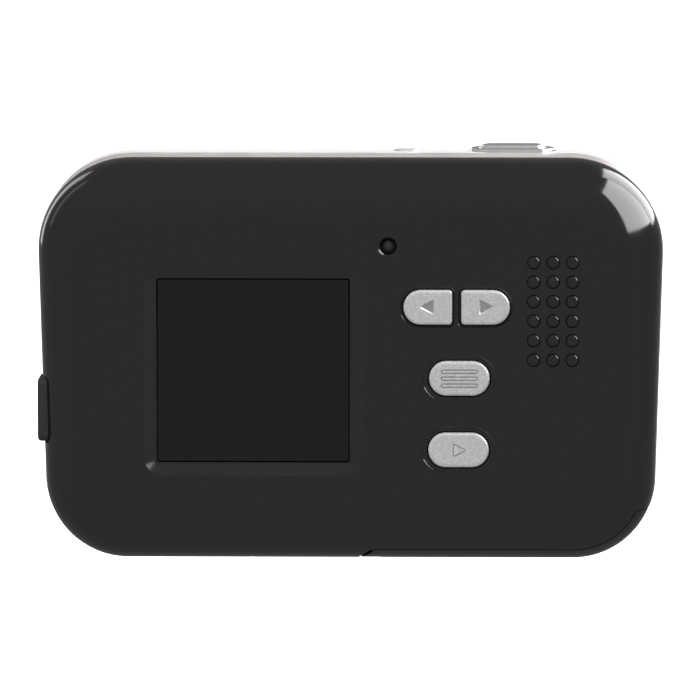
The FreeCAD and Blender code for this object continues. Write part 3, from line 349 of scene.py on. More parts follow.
def carve(obj, *cutters, operation="DIFFERENCE"):
    """Cut with each cutter in turn, then throw the cutters away."""
    for cutter in cutters:
        boolean = obj.modifiers.new("cut", "BOOLEAN")
        boolean.operation = operation
        boolean.solver = "EXACT"
        boolean.material_mode = "TRANSFER"
        boolean.object = cutter
        evaluated(obj)
        bpy.data.objects.remove(cutter)
    return obj


def join(name, *parts):
    """One object from several, keeping each part's materials."""
    for part in parts:
        part.data = part.data.copy()
    chosen = list(parts)
    with bpy.context.temp_override(active_object=parts[0], selected_editable_objects=chosen):
        bpy.ops.object.join()
    parts[0].name = name
    return parts[0]


def smooth(obj):
    """Smooth shading that keeps the creases."""
    for face in obj.data.polygons:
        face.use_smooth = True
    obj.data.set_sharp_from_angle(angle=math.radians(32))
    weighted = obj.modifiers.new("normals", "WEIGHTED_NORMAL")
    weighted.keep_sharp = True


def show(obj, body, node):
    """Shade a piece, let it ride its body, and put it in its CAD node's place."""
    smooth(obj)
    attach(obj, body)
    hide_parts(node)


# ---------------------------------------------------------------- materials

def surface(name, color, roughness, metallic=0.0, coat=0.0, grain=0.0, grain_size=0.3,
            bump=0.0, bump_size=0.2, fleck=0.0, fleck_size=0.12, fleck_color=(0.5, 0.5, 0.5),
            wear=0.06, **extra):
    """A procedural finish: colour grain, uneven roughness, fine relief and small bright flecks.

    Sizes are in millimetres; extra names more sockets of the shader."""
    material = bpy.data.materials.new(name)
    material.use_nodes = True
    tree = material.node_tree
    shader = tree.nodes["Principled BSDF"]
    shader.inputs["Base Color"].default_value = (*color, 1)
    shader.inputs["Roughness"].default_value = roughness
    shader.inputs["Metallic"].default_value = metallic
    shader.inputs["Coat Weight"].default_value = coat
    shader.inputs["Coat Roughness"].default_value = 0.04
    for socket, value in extra.items():
        shader.inputs[socket.replace("_", " ")].default_value = value
    place = tree.nodes.new("ShaderNodeTexCoord")

    def noise(size, detail=3.0):
        texture = tree.nodes.new("ShaderNodeTexNoise")
        texture.inputs["Scale"].default_value = 1 / (size * MM)
        texture.inputs["Detail"].default_value = detail
        tree.links.new(place.outputs["Object"], texture.inputs["Vector"])
        return texture.outputs["Fac"]

    def ranged(value, low, high, start=0.3, end=0.7):
        ramp = tree.nodes.new("ShaderNodeMapRange")
        ramp.inputs["From Min"].default_value = start
        ramp.inputs["From Max"].default_value = end
        ramp.inputs["To Min"].default_value = low
        ramp.inputs["To Max"].default_value = high
        tree.links.new(value, ramp.inputs["Value"])
        return ramp.outputs["Result"]

    def mixed(share, first, second):
        mix = tree.nodes.new("ShaderNodeMix")
        mix.data_type = "RGBA"
        tree.links.new(share, mix.inputs["Factor"])
        for socket, value in (("A", first), ("B", second)):
            target = next(item for item in mix.inputs
                          if item.name == socket and item.type == "RGBA")
            if isinstance(value, tuple):
                target.default_value = (*value, 1)
            else:
                tree.links.new(value, target)
        return next(item for item in mix.outputs if item.type == "RGBA")

    low = tuple(part * (1 - grain) for part in color)
    high = tuple(min(1, part * (1 + grain)) for part in color)
    shade = mixed(ranged(noise(grain_size), 0, 1), low, high)
    if fleck > 0:
        cells = tree.nodes.new("ShaderNodeTexVoronoi")
        cells.inputs["Scale"].default_value = 1 / (fleck_size * MM)
        tree.links.new(place.outputs["Object"], cells.inputs["Vector"])
        split = tree.nodes.new("ShaderNodeSeparateColor")
        tree.links.new(cells.outputs["Color"], split.inputs["Color"])
        share = ranged(split.outputs["Red"], 0, fleck, 0.6, 1.0)
        shade = mixed(share, shade, fleck_color)
    tree.links.new(shade, shader.inputs["Base Color"])
    tree.links.new(ranged(noise(4.0), max(0, roughness - wear), min(1, roughness + wear)),
                   shader.inputs["Roughness"])
    if bump > 0:
        relief = tree.nodes.new("ShaderNodeBump")
        relief.inputs["Strength"].default_value = bump
        relief.inputs["Distance"].default_value = 0.05 * MM
        tree.links.new(noise(bump_size, 5.0), relief.inputs["Height"])
        tree.links.new(relief.outputs["Normal"], shader.inputs["Normal"])
    return material


BLACK = surface("gloss_black", (0.005, 0.005, 0.005), 0.11, grain=0.15, fleck=0.008,
                wear=0.025)
RECESS = surface("matte_black", (0.007, 0.007, 0.007), 0.2, grain=0.3, bump=0.3,
                 bump_size=0.12)
DOOR = surface("door_black", (0.0055, 0.0055, 0.0055), 0.15, grain=0.15, fleck=0.012,
               wear=0.03)
SILVER = surface("satin_silver", (0.53, 0.5, 0.49), 0.38, metallic=0.55, grain=0.1, bump=0.15)
PEARL = surface("pearl_white", (0.76, 0.755, 0.75), 0.35, coat=0.3, grain=0.04, fleck=0.25,
                fleck_color=(0.88, 0.88, 0.9), wear=0.01)
CAP = surface("button_silver", (0.5, 0.487, 0.49), 0.34, metallic=0.45, grain=0.12,
              grain_size=0.2, bump=0.25, bump_size=0.14, fleck=0.5, fleck_size=0.14,
              fleck_color=(0.85, 0.83, 0.84))
# painted shade: a darker colour for the sunken floors of the arrow pockets
POCKET_SHADE = surface("pocket_shade", (0.2, 0.193, 0.193), 0.5, grain=0.15)
SHADE = surface("line_shadow", (0.22, 0.213, 0.213), 0.5, grain=0.15)
CHROME = surface("bright_silver", (0.74, 0.74, 0.75), 0.16, metallic=0.9, grain=0.04)
WINDOW = surface("smoked_acrylic", (0.0015, 0.0015, 0.0018), 0.06, grain=0.2, wear=0.02,
                 Specular_IOR_Level=0.38)
RUBBER = surface("soft_rubber", (0.018, 0.018, 0.018), 0.62, grain=0.25, bump=0.5, bump_size=0.3)
LAMP_BODY = surface("lamp_body", (0.016, 0.013, 0.0135), 0.3, grain=0.5, grain_size=0.6)
INNER = surface("inner_plastic", (0.03, 0.03, 0.03), 0.5, grain=0.2, bump=0.3)
BOARD = surface("solder_mask", (0.02, 0.13, 0.05), 0.35, grain=0.2, grain_size=1.5, coat=0.3)
CHIP = surface("chip_package", (0.02, 0.02, 0.02), 0.55, grain=0.2, bump=0.4)
STEEL = surface("plated_steel", (0.6, 0.6, 0.61), 0.28, metallic=1.0, grain=0.08)
RIBBON = surface("ribbon_film", (0.5, 0.26, 0.05), 0.4, grain=0.15)
GLASS = surface("coated_glass", (0.02, 0.025, 0.03), 0.03, grain=0.1, coat=1.0, wear=0.01)
LENS_BLACK = surface("lens_black", (0.02, 0.02, 0.02), 0.4, grain=0.2, metallic=0.3)
FILTER = surface("filter_glass", (0.1, 0.3, 0.27), 0.05, grain=0.1, wear=0.01)
MIRROR = surface("vapour_coat", (0.88, 0.88, 0.88), 0.08, metallic=1.0, grain=0.02, wear=0.02)
DIFFUSER = surface("flash_diffuser", (0.72, 0.73, 0.74), 0.15, grain=0.04, coat=0.8)
BRASS = surface("turned_brass", (0.62, 0.43, 0.16), 0.25, metallic=1.0, grain=0.1)
CELL = surface("cell_wrap", (0.07, 0.08, 0.1), 0.25, grain=0.15, coat=0.5)
SLEEVE = surface("capacitor_sleeve", (0.02, 0.02, 0.024), 0.3, grain=0.15)

SLOT_MATERIALS = {
    "black_shell": BLACK,
    "silver_frame": SILVER,
    "pearl_cover": PEARL,
    "black_door": DOOR,
    "display_acrylic": WINDOW,
    "display_glass": WINDOW,
    "button_silver": CAP,
    "bezel_silver": CHROME,
    "soft_rubber": RUBBER,
    "lamp_lens": LAMP_BODY,
    "inner_plastic": INNER,
    "circuit_board": BOARD,
    "chip_black": CHIP,
    "plated_steel": STEEL,
    "ribbon_film": RIBBON,
    "lens_glass": GLASS,
    "lens_black": LENS_BLACK,
    "filter_glass": FILTER,
    "sensor_glass": GLASS,
    "reflector_metal": MIRROR,
    "flash_diffuser": DIFFUSER,
    "brass_insert": BRASS,
    "cell_wrap": CELL,
    "capacitor_sleeve": SLEEVE,
}


def dress_nodes():
    """Give every CAD node its slot's finish and smooth shading."""
    for part in frame["record"]["subparts"]:
        obj = frame["nodes"][part["node"]]
        obj.data.materials.clear()
        obj.data.materials.append(SLOT_MATERIALS[part["material_slot"]])
        weld = obj.modifiers.new("weld", "WELD")
        weld.merge_threshold = 0.001 * MM
        smooth(obj)


# ---------------------------------------------------------------- shared cutters

def door_cutter(name, clearance, material):
    """The corner of the case that the battery door fills, as a solid grown by a clearance."""
    inset = DOOR_THICK + clearance
    start = DOOR_END - clearance
    rise = DOOR_RISE + clearance
    xb, zb, radius, first, _ = case_arcs()[2]
    reach = radius - inset
    last = math.degrees(math.asin((rise - zb) / reach)) + 360
    points = [(start, inset)]
    steps = 24
    for step in range(steps + 1):
        angle = math.radians(first + (last - first) * step / steps)
        points.append((xb + reach * math.cos(angle), zb + reach * math.sin(angle)))
    below = -9
    points += [(WIDTH, rise), (WIDTH, below), (start, below)]
    solid = prism(name, points, Y_REAR - 5, Y_FACE + 5, material)
    bm = bmesh.new()
    bm.from_mesh(solid.data)
    for corner, slope in ((Y_DOOR_REAR, DOOR_SLOPE), (Y_DOOR_FRONT, -DOOR_SLOPE)):
        geometry = bm.verts[:] + bm.edges[:] + bm.faces[:]
        through = (start * MM, corner * MM, 0)
        bmesh.ops.bisect_plane(bm, geom=geometry, plane_co=through, plane_no=(1, slope, 0),
                               clear_inner=True)
        bmesh.ops.holes_fill(bm, edges=[edge for edge in bm.edges if edge.is_boundary])
    bmesh.ops.recalc_face_normals(bm, faces=bm.faces)
    bm.to_mesh(solid.data)
    bm.free()
    return solid


def relief_cutter(name, material):
    """Room in the case for the door's inner end to swing up."""
    full = HINGE_Z * SWING + SEAM + 0.05
    profile = [
        (full - 0.22, Y_DOOR_REAR - (full - 0.22) / DOOR_SLOPE),
        (0, Y_DOOR_REAR),
        (0, Y_DOOR_FRONT + 0.1 * FRONT_ROUND),
        (full - 0.6, Y_FACE - 0.15 * FRONT_ROUND),
    ]
    return loft(name, circle(HINGE_X, HINGE_Z, full, 48), profile, material=material)


def port_cutter(name, material):
    across = PORT_WIDTH / 2 + PORT_GAP
    up = PORT_HEIGHT / 2 + PORT_GAP
    return box(name, (-WIDTH, Y_MID - across, PORT_Z - up), (-40, Y_MID + across, PORT_Z + up),
               material)


def bush_cutter(name, material):
    hole = circle(*BUSH, BUSH_HOLE)
    return loft(name, hole, [(0, -REACH), (0, BUSH_TOP)], plane="XY", material=material)


def barrel(low, high):
    """Profile of a hinge barrel with small chamfers at both ends."""
    return [(0.1, low), (0, low + 0.1), (0, high - 0.1), (0.1, high)]


def lug(name, low, high, material):
    """A hinge eye and the arm that joins it to the case's bottom wall."""
    eye = loft(name + "_eye", circle(HINGE_X, HINGE_Z, KNUCKLE, 40), barrel(low, high),
               material=material)
    arm = box(name + "_arm", (DOOR_END - 2.2, low, 1.2), (HINGE_X, high, HINGE_Z + KNUCKLE),
              material)
    return join(name, eye, arm)


# ---------------------------------------------------------------- case

def stepped(wide, narrow, deep):
    """Profile of a sunken ring round an opening: a sloping rounded rim, a shallow ledge and a drop.

    wide, narrow: growth of the outline at the rim and at the opening; deep: the ledge's depth."""
    rim = min(0.26, wide - narrow)
    points = [(-wide, Y_REAR - 1.5), (-wide, Y_REAR - 0.01)]
    for share, drop in ((0.12, 0.05), (0.4, 0.28), (0.7, 0.6), (0.9, 0.9), (1.0, 1.0)):
        points.append((-wide + share * rim, Y_REAR + drop * deep))
    points += [
        (-narrow - 0.08, Y_REAR + 1.15 * deep),
        (-narrow - 0.02, Y_REAR + 1.5 * deep),
        (-narrow, Y_REAR + 2.2 * deep),
        (-narrow, Y_REAR + REACH),
    ]
    return points


def button_outline(name):
    if name == "left":
        return arrow_button(LEFT_ARROW_X, -1)
    if name == "right":
        return arrow_button(RIGHT_ARROW_X, 1)
    x, z, width = MENU if name == "menu" else PLAY
    return slot(x, z, width, BUTTON_HEIGHT)


def behind(*points):
    """Profile on the rear face, from points (inset, depth below the face)."""
    return [(inset, Y_REAR + depth) for inset, depth in points]


def recess_cutter():
    """The display's recess: a rounded brim, a sloping side and a ledge round the window."""
    mouth = rectangle(DISPLAY_X, DISPLAY_Z, DISPLAY_WIDTH, DISPLAY_HEIGHT, DISPLAY_CORNERS,
                      steps=10)
    profile = behind((-1.95, -1), (-1.95, -0.01), (-1.8, 0.05), (-1.6, 0.18), (-0.62, 0.78),
                     (-0.45, 0.87), (-0.3, RECESS_DEPTH), (-0.1, RECESS_DEPTH), (-0.1, REACH))
    return loft("recess", mouth, profile, material=RECESS)


def well_cutters():
    """The sunken rings round the four buttons and the lamp."""
    cutters = []
    for name, wide in (("left", ARROW_WELL), ("right", ARROW_WELL),
                       ("menu", LOW_WELL), ("play", LOW_WELL)):
        profile = stepped(wide, BUTTON_FIT, WELL_DEPTH)
        cutters.append(loft(name + "_well", button_outline(name), profile, material=BLACK))
    profile = stepped(LAMP_WELL, 0, LAMP_WELL_DEPTH)
    cutters.append(loft("lamp_well", circle(*LAMP), profile, material=BLACK))
    return cutters


def grip_pattern():
    """The thumb grip: a cutter with a fine moat for each dot, and the raised dots."""
    moat = behind((0.02, 0.09), (-0.04, 0.08), (-0.14, -0.005), (-0.14, -1), (0.06, -1),
                  (0.06, 0.09))
    dot = behind((0, 0.4), (0, -0.06), (0.03, -0.11), (0.09, -0.18), (0.19, -0.25),
                 (0.3, -0.28), (0.45, -0.295), (0.7, -0.3))
    moats = bmesh.new()
    dots = bmesh.new()
    for column in range(GRIP_COLUMNS):
        for row in range(GRIP_ROWS):
            x = GRIP_X + column * COLUMN_PITCH
            z = GRIP_TOP - row * ROW_PITCH
            outline = circle(x, z, DOT_RADIUS, 32)
            loft_into(moats, outline, moat, closed=True)
            loft_into(dots, outline, dot)
    return finish_mesh(moats, "grip_moats", BLACK), finish_mesh(dots, "grip_dots", BLACK)


def make_rear_cover():
    outer = [(WALL, Y_MID), (REAR_STEP + 0.4, Y_MID)]
    outer += [(REAR_STEP + 0.12, Y_MID - 0.12), (REAR_STEP, Y_MID - 0.35)]
    outer += quarter(REAR_STEP, Y_REAR, REAR_ROUND, -1, REAR_PROFILE_STEPS)
    inner = quarter(WALL, Y_REAR + WALL, REAR_ROUND - WALL, -1, 10)
    shell = loft("rear_cover_skin", CASE, list(reversed(inner)) + outer, material=BLACK)
    carve(shell, recess_cutter(), *well_cutters(), port_cutter("rear_port", BLACK),
          door_cutter("rear_door", SEAM, BLACK), relief_cutter("rear_relief", BLACK))
    moats, grip = grip_pattern()
    carve(shell, moats)
    eye = lug("rear_lug", Y_MID - LUG_LENGTH, Y_MID, BLACK)
    cover = join("rear_cover_look", shell, grip, eye)
    show(cover, "camera_body", "rear_cover")


def screw_places():
    """Name, plane, centre, face depth and inward direction of each case screw."""
    z = HEIGHT - TOP_CORNER - SCREW_INSET
    low_left = -WIDTH / 2 + LOW_CORNER + SCREW_INSET
    low_right = -3.6
    return [
        ("right", "YZ", (Y_CENTRE, z), SCREW_SIDE, -1),
        ("left", "YZ", (Y_CENTRE, z), -SCREW_SIDE, 1),
        ("low_left", "XY", (low_left, Y_CENTRE), 0.0, 1),
        ("low_right", "XY", (low_right, Y_CENTRE), 0.0, 1),
    ]


def make_mid_frame():
    profile = [(WALL, Y_MID), (EDGE, Y_MID), (0.07, Y_MID + 0.07), (0, Y_MID + EDGE),
               (0, Y_FRONT - EDGE), (0.07, Y_FRONT - 0.07), (EDGE, Y_FRONT), (WALL, Y_FRONT)]
    band = loft("mid_frame_look", CASE, profile, closed=True, material=SILVER)
    cutters = [
        port_cutter("mid_port", SILVER),
        bush_cutter("mid_bush", SILVER),
        door_cutter("mid_door", SEAM, SILVER),
        relief_cutter("mid_relief", SILVER),
    ]
    for name, plane, centre, face, inward in screw_places():
        hole = circle(*centre, SCREW_HOLE, 40)
        sink = [(0, face - REACH * inward), (0, face + 1.1 * inward)]
        cutters.append(loft(name + "_sink", hole, sink, plane=plane, material=SILVER))
    carve(band, *cutters)
    show(band, "camera_body", "mid_frame")


def make_front_cover():
    outer = [(WALL, Y_FRONT), (EDGE, Y_FRONT), (0.07, Y_FRONT + 0.07), (0, Y_FRONT + EDGE)]
    outer += quarter(0, Y_FACE, FRONT_ROUND, 1, FRONT_PROFILE_STEPS)
    inner = quarter(WALL, Y_FACE - WALL, FRONT_ROUND - WALL, 1, 6)
    shell = loft("front_cover_look", CASE, list(reversed(inner)) + outer, material=PEARL)
    x, z, width, height = FLASH
    window = rectangle(x, z, width + 0.2, height + 0.2, (0.4,) * 4)
    brim = [(0, Y_FACE - 4), (0, Y_FACE - 0.2), (-0.15, Y_FACE - 0.05), (-0.2, Y_FACE + 1)]
    through = [(0, Y_FACE - 4), (0, Y_FACE + 2)]
    seat = [(0, HEIGHT + 2), (0, HEIGHT - 0.6)]
    down = [(0, HEIGHT + 2), (0, HEIGHT - REACH)]

    def above(name, x, size, profile):
        return loft(name, slot(x, TOP_Y, *size), profile, plane="XY", material=PEARL)

    cutters = [
        loft("lens_hole", circle(*LENS, LENS_HOLE), through, material=PEARL),
        loft("flash_hole", window, brim, material=PEARL),
        above("bezel_seat", SHUTTER_X, BEZEL_SEAT, seat),
        above("bezel_hole", SHUTTER_X, BEZEL_HOLE, down),
        above("power_hole", POWER_X, POWER_HOLE, down),
        loft("microphone_hole", circle(*MICROPHONE, 24), through, material=PEARL),
        bush_cutter("front_bush", PEARL),
        door_cutter("front_door", SEAM, PEARL),
        relief_cutter("front_relief", PEARL),
    ]
    carve(shell, *cutters)
    eye = lug("front_lug", Y_FRONT, Y_FRONT + LUG_LENGTH, PEARL)
    cover = join("front_cover_look", shell, eye)
    show(cover, "camera_body", "front_cover")


def make_battery_door():
    profile = quarter(REAR_STEP, Y_REAR, REAR_ROUND, -1, REAR_PROFILE_STEPS)
    profile.reverse()
    profile += [(0.1, Y_MID + 0.3), (0, Y_MID + 1)]
    profile += quarter(0, Y_FACE, FRONT_ROUND, 1, FRONT_PROFILE_STEPS)
    door = loft("battery_door_look", CASE, profile, material=DOOR)
    carve(door, door_cutter("door_body", 0.0, DOOR), operation="INTERSECT")
    notches = []
    lugs = ((Y_MID - LUG_LENGTH, Y_MID), (Y_FRONT, Y_FRONT + LUG_LENGTH))
    for index, (low, high) in enumerate(lugs):
        inner = (DOOR_END - 1, low - LUG_GAP, -1)
        outer = (HINGE_X + KNUCKLE + 0.15, high + LUG_GAP, HINGE_Z + 4)
        notches.append(box(f"door_notch{index}", inner, outer, DOOR))
    carve(door, *notches)
    knuckle = loft("door_knuckle", circle(HINGE_X, HINGE_Z, KNUCKLE, 40),
                   barrel(Y_MID + LUG_GAP, Y_FRONT - LUG_GAP), material=DOOR)
    door = join("battery_door_look", door, knuckle)
    show(door, "battery_door", "battery_door")


def make_port_cover():
    """The rubber pad on the side, with softened edges and the lip that fills the socket."""
    outline = rectangle(Y_MID, PORT_Z, PORT_WIDTH, PORT_HEIGHT, PORT_CORNERS)
    side = -WIDTH / 2
    profile = [(0, side + 1.5), (0, side + 0.45), (0.06, side + 0.25), (0.2, side + 0.08),
               (0.42, side)]
    pad = loft("port_cover_pad", outline, profile, plane="YZ", material=RUBBER)
    lip = rectangle(-3.9, PORT_Z, 2.4, 4.8, (0.4,) * 4)
    profile = [(0, side + 1.4), (0, side + 2.2), (0.2, side + 2.4)]
    plug = loft("port_cover_lip", lip, profile, plane="YZ", material=RUBBER)
    cover = join("port_cover_look", pad, plug)
    show(cover, "port_cover", "port_cover")


def make_screws():
    """Sunken heads of the case screws, each with a cross slot."""
    heads = []
    for name, plane, centre, face, inward in screw_places():
        start = face + 0.3 * inward
        profile = [(0, start + 0.8 * inward), (0, start + 0.25 * inward),
                   (0.12, start + 0.1 * inward), (0.45, start)]
        head = loft(name + "_head", circle(*centre, SCREW_RADIUS, 40), profile, plane=plane,
                    material=STEEL)
        for long, short in ((1.0, 0.2), (0.2, 1.0)):
            first = spot(centre[0] - long, centre[1] - short, start - 0.5 * inward, plane)
            second = spot(centre[0] + long, centre[1] + short, start + 0.45 * inward, plane)
            low = [min(pair) for pair in zip(first, second)]
            high = [max(pair) for pair in zip(first, second)]
            carve(head, box(name + "_slot", low, high, STEEL))
        heads.append(head)
    show(join("case_screws_look", *heads), "camera_body", "case_screws")


def make_tripod_bush():
    """The brass insert, with its thread's ridges and a small lead-in."""
    outer = [(0, BUSH_TOP), (0, 0.35), (0.2, 0.1)]
    crest = BUSH_RADIUS - 2.62
    root = BUSH_RADIUS - 3.1
    bore = [(BUSH_RADIUS - 3.3, 0.1), (BUSH_RADIUS - 2.95, 0.5)]
    for turn in range(THREAD_TURNS):
        base = 0.6 + turn * THREAD_PITCH
        bore += [(crest, base), (crest, base + 0.2), (root, base + 0.65), (crest, base + 1.1)]
    bore.append((BUSH_RADIUS - 2.6, 5.9))
    bush = loft("tripod_bush_look", circle(*BUSH, BUSH_RADIUS), outer + bore, plane="XY",
                material=BRASS)
    show(bush, "camera_body", "tripod_bush")


# ---------------------------------------------------------------- rear controls

def cap_profile():
    """Rounded rim of a button cap: from deep inside the case out to its face."""
    points = [(0, Y_CAP + CAP_DEPTH)]
    steps = 7
    for step in range(steps + 1):
        angle = math.radians(90 * step / steps)
        sunk = CAP_DOME + (CAP_EDGE - CAP_DOME) * (1 - math.sin(angle))
        points.append((CAP_EDGE * (1 - math.cos(angle)), Y_CAP + sunk))
    points.append((CAP_EDGE + 0.15, Y_CAP + CAP_DOME * 0.4))
    return points


def groove(name, outline):
    """A ring-shaped cutter that sinks an outline into a cap's face."""
    above = Y_CAP - 0.5
    floor = Y_CAP + LINE_DEPTH
    profile = [(-LINE_WIDTH, above), (-LINE_WIDTH, floor), (0, floor), (0, above)]
    return loft(name, outline, profile, closed=True, material=SHADE)


def pocket(name, outline):
    """A cutter that sinks a flat-bottomed shape with sloping sides into a cap's face; its floor
    carries painted shade, a darker colour, while the sloping sides keep the cap's finish.
    """
    spread = -ARROW_DEPTH * 1.1
    profile = [(0, Y_CAP + ARROW_DEPTH), (spread, Y_CAP), (spread, Y_CAP - 0.5)]
    # the floor faces take the painted shade colour, the sloping sides the cap's own finish
    cutter = loft(name, outline, profile, material=POCKET_SHADE)
    cutter.data.materials.append(CAP)
    for side in cutter.data.polygons:
        side.material_index = 0 if abs(side.normal.y) > 0.95 else 1
    return cutter


def pointer(x, z, size, side):
    """Outline of a small rounded triangle."""
    tip = size * 0.48
    half = size * 0.5
    points = [Vector((x + side * tip, z)), Vector((x - side * tip, z + side * half)),
              Vector((x - side * tip, z - side * half))]
    arcs = []
    radius = 0.06
    for index, point in enumerate(points):
        before = (points[index - 1] - point).normalized()
        after = (points[(index + 1) % 3] - point).normalized()
        centre = point + (before + after).normalized() * radius / math.sin(before.angle(after) / 2)
        start = math.degrees(math.atan2(before.x, -before.y))
        end = math.degrees(math.atan2(-after.x, after.y))
        while end < start:
            end += 360
        arcs.append((centre.x, centre.y, radius, start, end))
    return stations(arcs, steps=4)


def symbol_cutters(name):
    """Cutters for a cap's symbol: a filled arrow, three bars or an outlined triangle."""
    off_centre = 0.1
    if name == "left":
        outline = pointer(LEFT_ARROW_X - off_centre, ARROWS_Z + off_centre, ARROW_SIZE, -1)
        return [pocket("left_pocket", outline)]
    if name == "right":
        outline = pointer(RIGHT_ARROW_X + off_centre, ARROWS_Z + off_centre, ARROW_SIZE, 1)
        return [pocket("right_pocket", outline)]
    if name == "menu":
        x, z, _ = MENU
        outlines = [slot(x, z + row * BAR_PITCH, BAR_LENGTH, BAR_HEIGHT, steps=8)
                    for row in (-1, 0, 1)]
    else:
        x, z, _ = PLAY
        outlines = [pointer(x + off_centre, z, TRIANGLE_SIZE, 1)]
    return [groove(f"{name}_line{index}", outline) for index, outline in enumerate(outlines)]


def make_rear_buttons():
    for name in ("left", "right", "menu", "play"):
        button = name + "_button"
        cap = loft(button + "_look", button_outline(name), cap_profile(), material=CAP)
        carve(cap, *symbol_cutters(name))
        show(cap, button, button)


def make_display():
    front = Y_REAR + RECESS_DEPTH
    outline = rectangle(DISPLAY_X, DISPLAY_Z, DISPLAY_WIDTH, DISPLAY_HEIGHT, DISPLAY_CORNERS)
    chamfer = 0.12
    profile = [(0, front + WINDOW_THICK), (0, front + chamfer), (chamfer, front)]
    window = loft("display_window_look", outline, profile, material=WINDOW)
    show(window, "camera_body", "display_window")


def make_lamp():
    """A domed light guide with a long stem into the case."""
    x, z, radius = LAMP
    top = Y_REAR + 1.0
    rise = 0.5
    gap = 0.1
    profile = [(-0.4, Y_REAR + 5.6), (-0.4, Y_REAR + 1.9), (gap, Y_REAR + 1.9), (gap, top + rise)]
    steps = 6
    for step in range(1, steps + 1):
        angle = math.radians(85 * step / steps)
        inset = radius - (radius - gap) * math.cos(angle)
        profile.append((inset, top + rise * (1 - math.sin(angle))))
    lamp = loft("status_lamp_look", circle(x, z, radius, 40), profile, material=LAMP_BODY)
    show(lamp, "camera_body", "status_lamp")


# ---------------------------------------------------------------- top controls

def make_top_controls():
    top = HEIGHT + BEZEL_RISE
    seat = HEIGHT - 0.55
    skirt = HEIGHT - 1.6
    profile = [(0, seat), (0, top - 0.3), (0.08, top - 0.12), (0.28, top), (0.85, top),
               (1.2, top - 0.12), (1.4, top - 0.45), (1.4, skirt), (0.9, skirt), (0.9, seat)]
    bezel = loft("shutter_bezel_look", slot(SHUTTER_X, TOP_Y, *BEZEL), profile, plane="XY",
                 closed=True, material=CHROME)
    show(bezel, "camera_body", "shutter_bezel")
    root = HEIGHT - 1.8
    crown = HEIGHT + SHUTTER_RISE
    profile = [(0, root), (0, crown - 0.55), (0.06, crown - 0.35), (0.2, crown - 0.18),
               (0.45, crown - 0.07), (0.9, crown - 0.01), (1.3, crown)]
    shutter = loft("shutter_button_look", slot(SHUTTER_X, TOP_Y, *SHUTTER), profile, plane="XY",
                   material=CHROME)
    show(shutter, "shutter_button", "shutter_button")
    crown = HEIGHT + POWER_RISE
    profile = [(0, root), (0, crown - 0.25), (0.08, crown - 0.08), (0.25, crown)]
    power = loft("power_button_look", slot(POWER_X, TOP_Y, *POWER), profile, plane="XY",
                 material=CAP)
    show(power, "power_button", "power_button")


# ---------------------------------------------------------------- front

def make_lens():
    """The bright lens ring, with a dark stepped cone inside it."""
    inside = Y_FACE - WALL + 0.2
    bottom = Y_FACE + 0.4
    mouth = Y_LENS - 0.35
    profile = [(4.9, inside), (4.9, Y_FACE), (0, Y_FACE), (0.1, Y_FACE + 0.5),
               (0.35, Y_FACE + 0.55), (0.4, Y_FACE + 0.75), (0.2, Y_FACE + 0.85),
               (0.75, Y_LENS - 0.6), (0.95, Y_LENS - 0.2), (1.25, Y_LENS), (2.7, Y_LENS),
               (2.95, Y_LENS - 0.1)]
    for step in range(CONE_STEPS + 1):
        share = step / CONE_STEPS
        radius = CONE_MOUTH + (CONE_THROAT - CONE_MOUTH) * share
        depth = mouth + (bottom - mouth) * share
        profile += [(LENS_RING - radius, depth), (LENS_RING - radius + 0.12, depth - 0.02)]
    profile += [(6.5, bottom), (6.5, inside)]
    ring = circle(*LENS, LENS_RING, 96)
    bezel = loft("lens_bezel_look", ring, profile, closed=True, material=CHROME)
    show(bezel, "camera_body", "lens_bezel")
    for face in bezel.data.polygons:
        centre = Vector((face.center.x / MM - LENS[0], face.center.z / MM - LENS[1]))
        if centre.length < CONE_MOUTH - 0.05:
            face.material_index = 1
    bezel.data.materials.append(LENS_BLACK)


def make_flash_window():
    """A clear diffuser with fine upright ribs."""
    x, z, width, height = FLASH
    face = Y_FACE - 0.1
    back = face - 1.3
    valley = face - 0.14
    crest = face - 0.02
    points = [(x - width / 2, back)]
    for rib in range(FLASH_RIBS):
        low = x - width / 2 + width * rib / FLASH_RIBS
        step = width / FLASH_RIBS
        points += [(low, valley), (low + step * 0.3, crest), (low + step * 0.7, crest)]
    points += [(x + width / 2, valley), (x + width / 2, back)]
    window = prism("flash_window_look", points, z - height / 2, z + height / 2, DIFFUSER,
                   plane="XY")
    show(window, "camera_body", "flash_window")


# ---------------------------------------------------------------- stage

def make_sweep():
    """A pale sheet that lies below the camera and rises behind it; only the viewpoint sees it."""
    near, bend, radius, top, half_width = -4.0, 2.0, 0.5, 3.0, 3.0
    path = [(near, FLOOR), (bend, FLOOR)]
    steps = 16
    for step in range(1, steps + 1):
        angle = math.radians(90 * step / steps)
        path.append((bend + radius * math.sin(angle), FLOOR + radius - radius * math.cos(angle)))
    path.append((bend + radius, top))
    bm = bmesh.new()
    rows = [[bm.verts.new((x, y, z)) for y, z in path] for x in (-half_width, half_width)]
    for index in range(len(path) - 1):
        bm.faces.new((rows[0][index], rows[1][index], rows[1][index + 1], rows[0][index + 1]))
    mesh = bpy.data.meshes.new("sweep")
    bm.to_mesh(mesh)
    bm.free()
    for face in mesh.polygons:
        face.use_smooth = True
    mesh.materials.append(surface("sweep_paper", (0.9, 0.9, 0.9), 0.9, grain=0.01, grain_size=20,
                                  Emission_Color=(1, 1, 1, 1), Emission_Strength=0.75))
    sweep = bpy.data.objects.new("sweep", mesh)
    bpy.context.scene.collection.objects.link(sweep)
    sweep.visible_glossy = False
    sweep.visible_diffuse = False
    sweep.visible_shadow = False


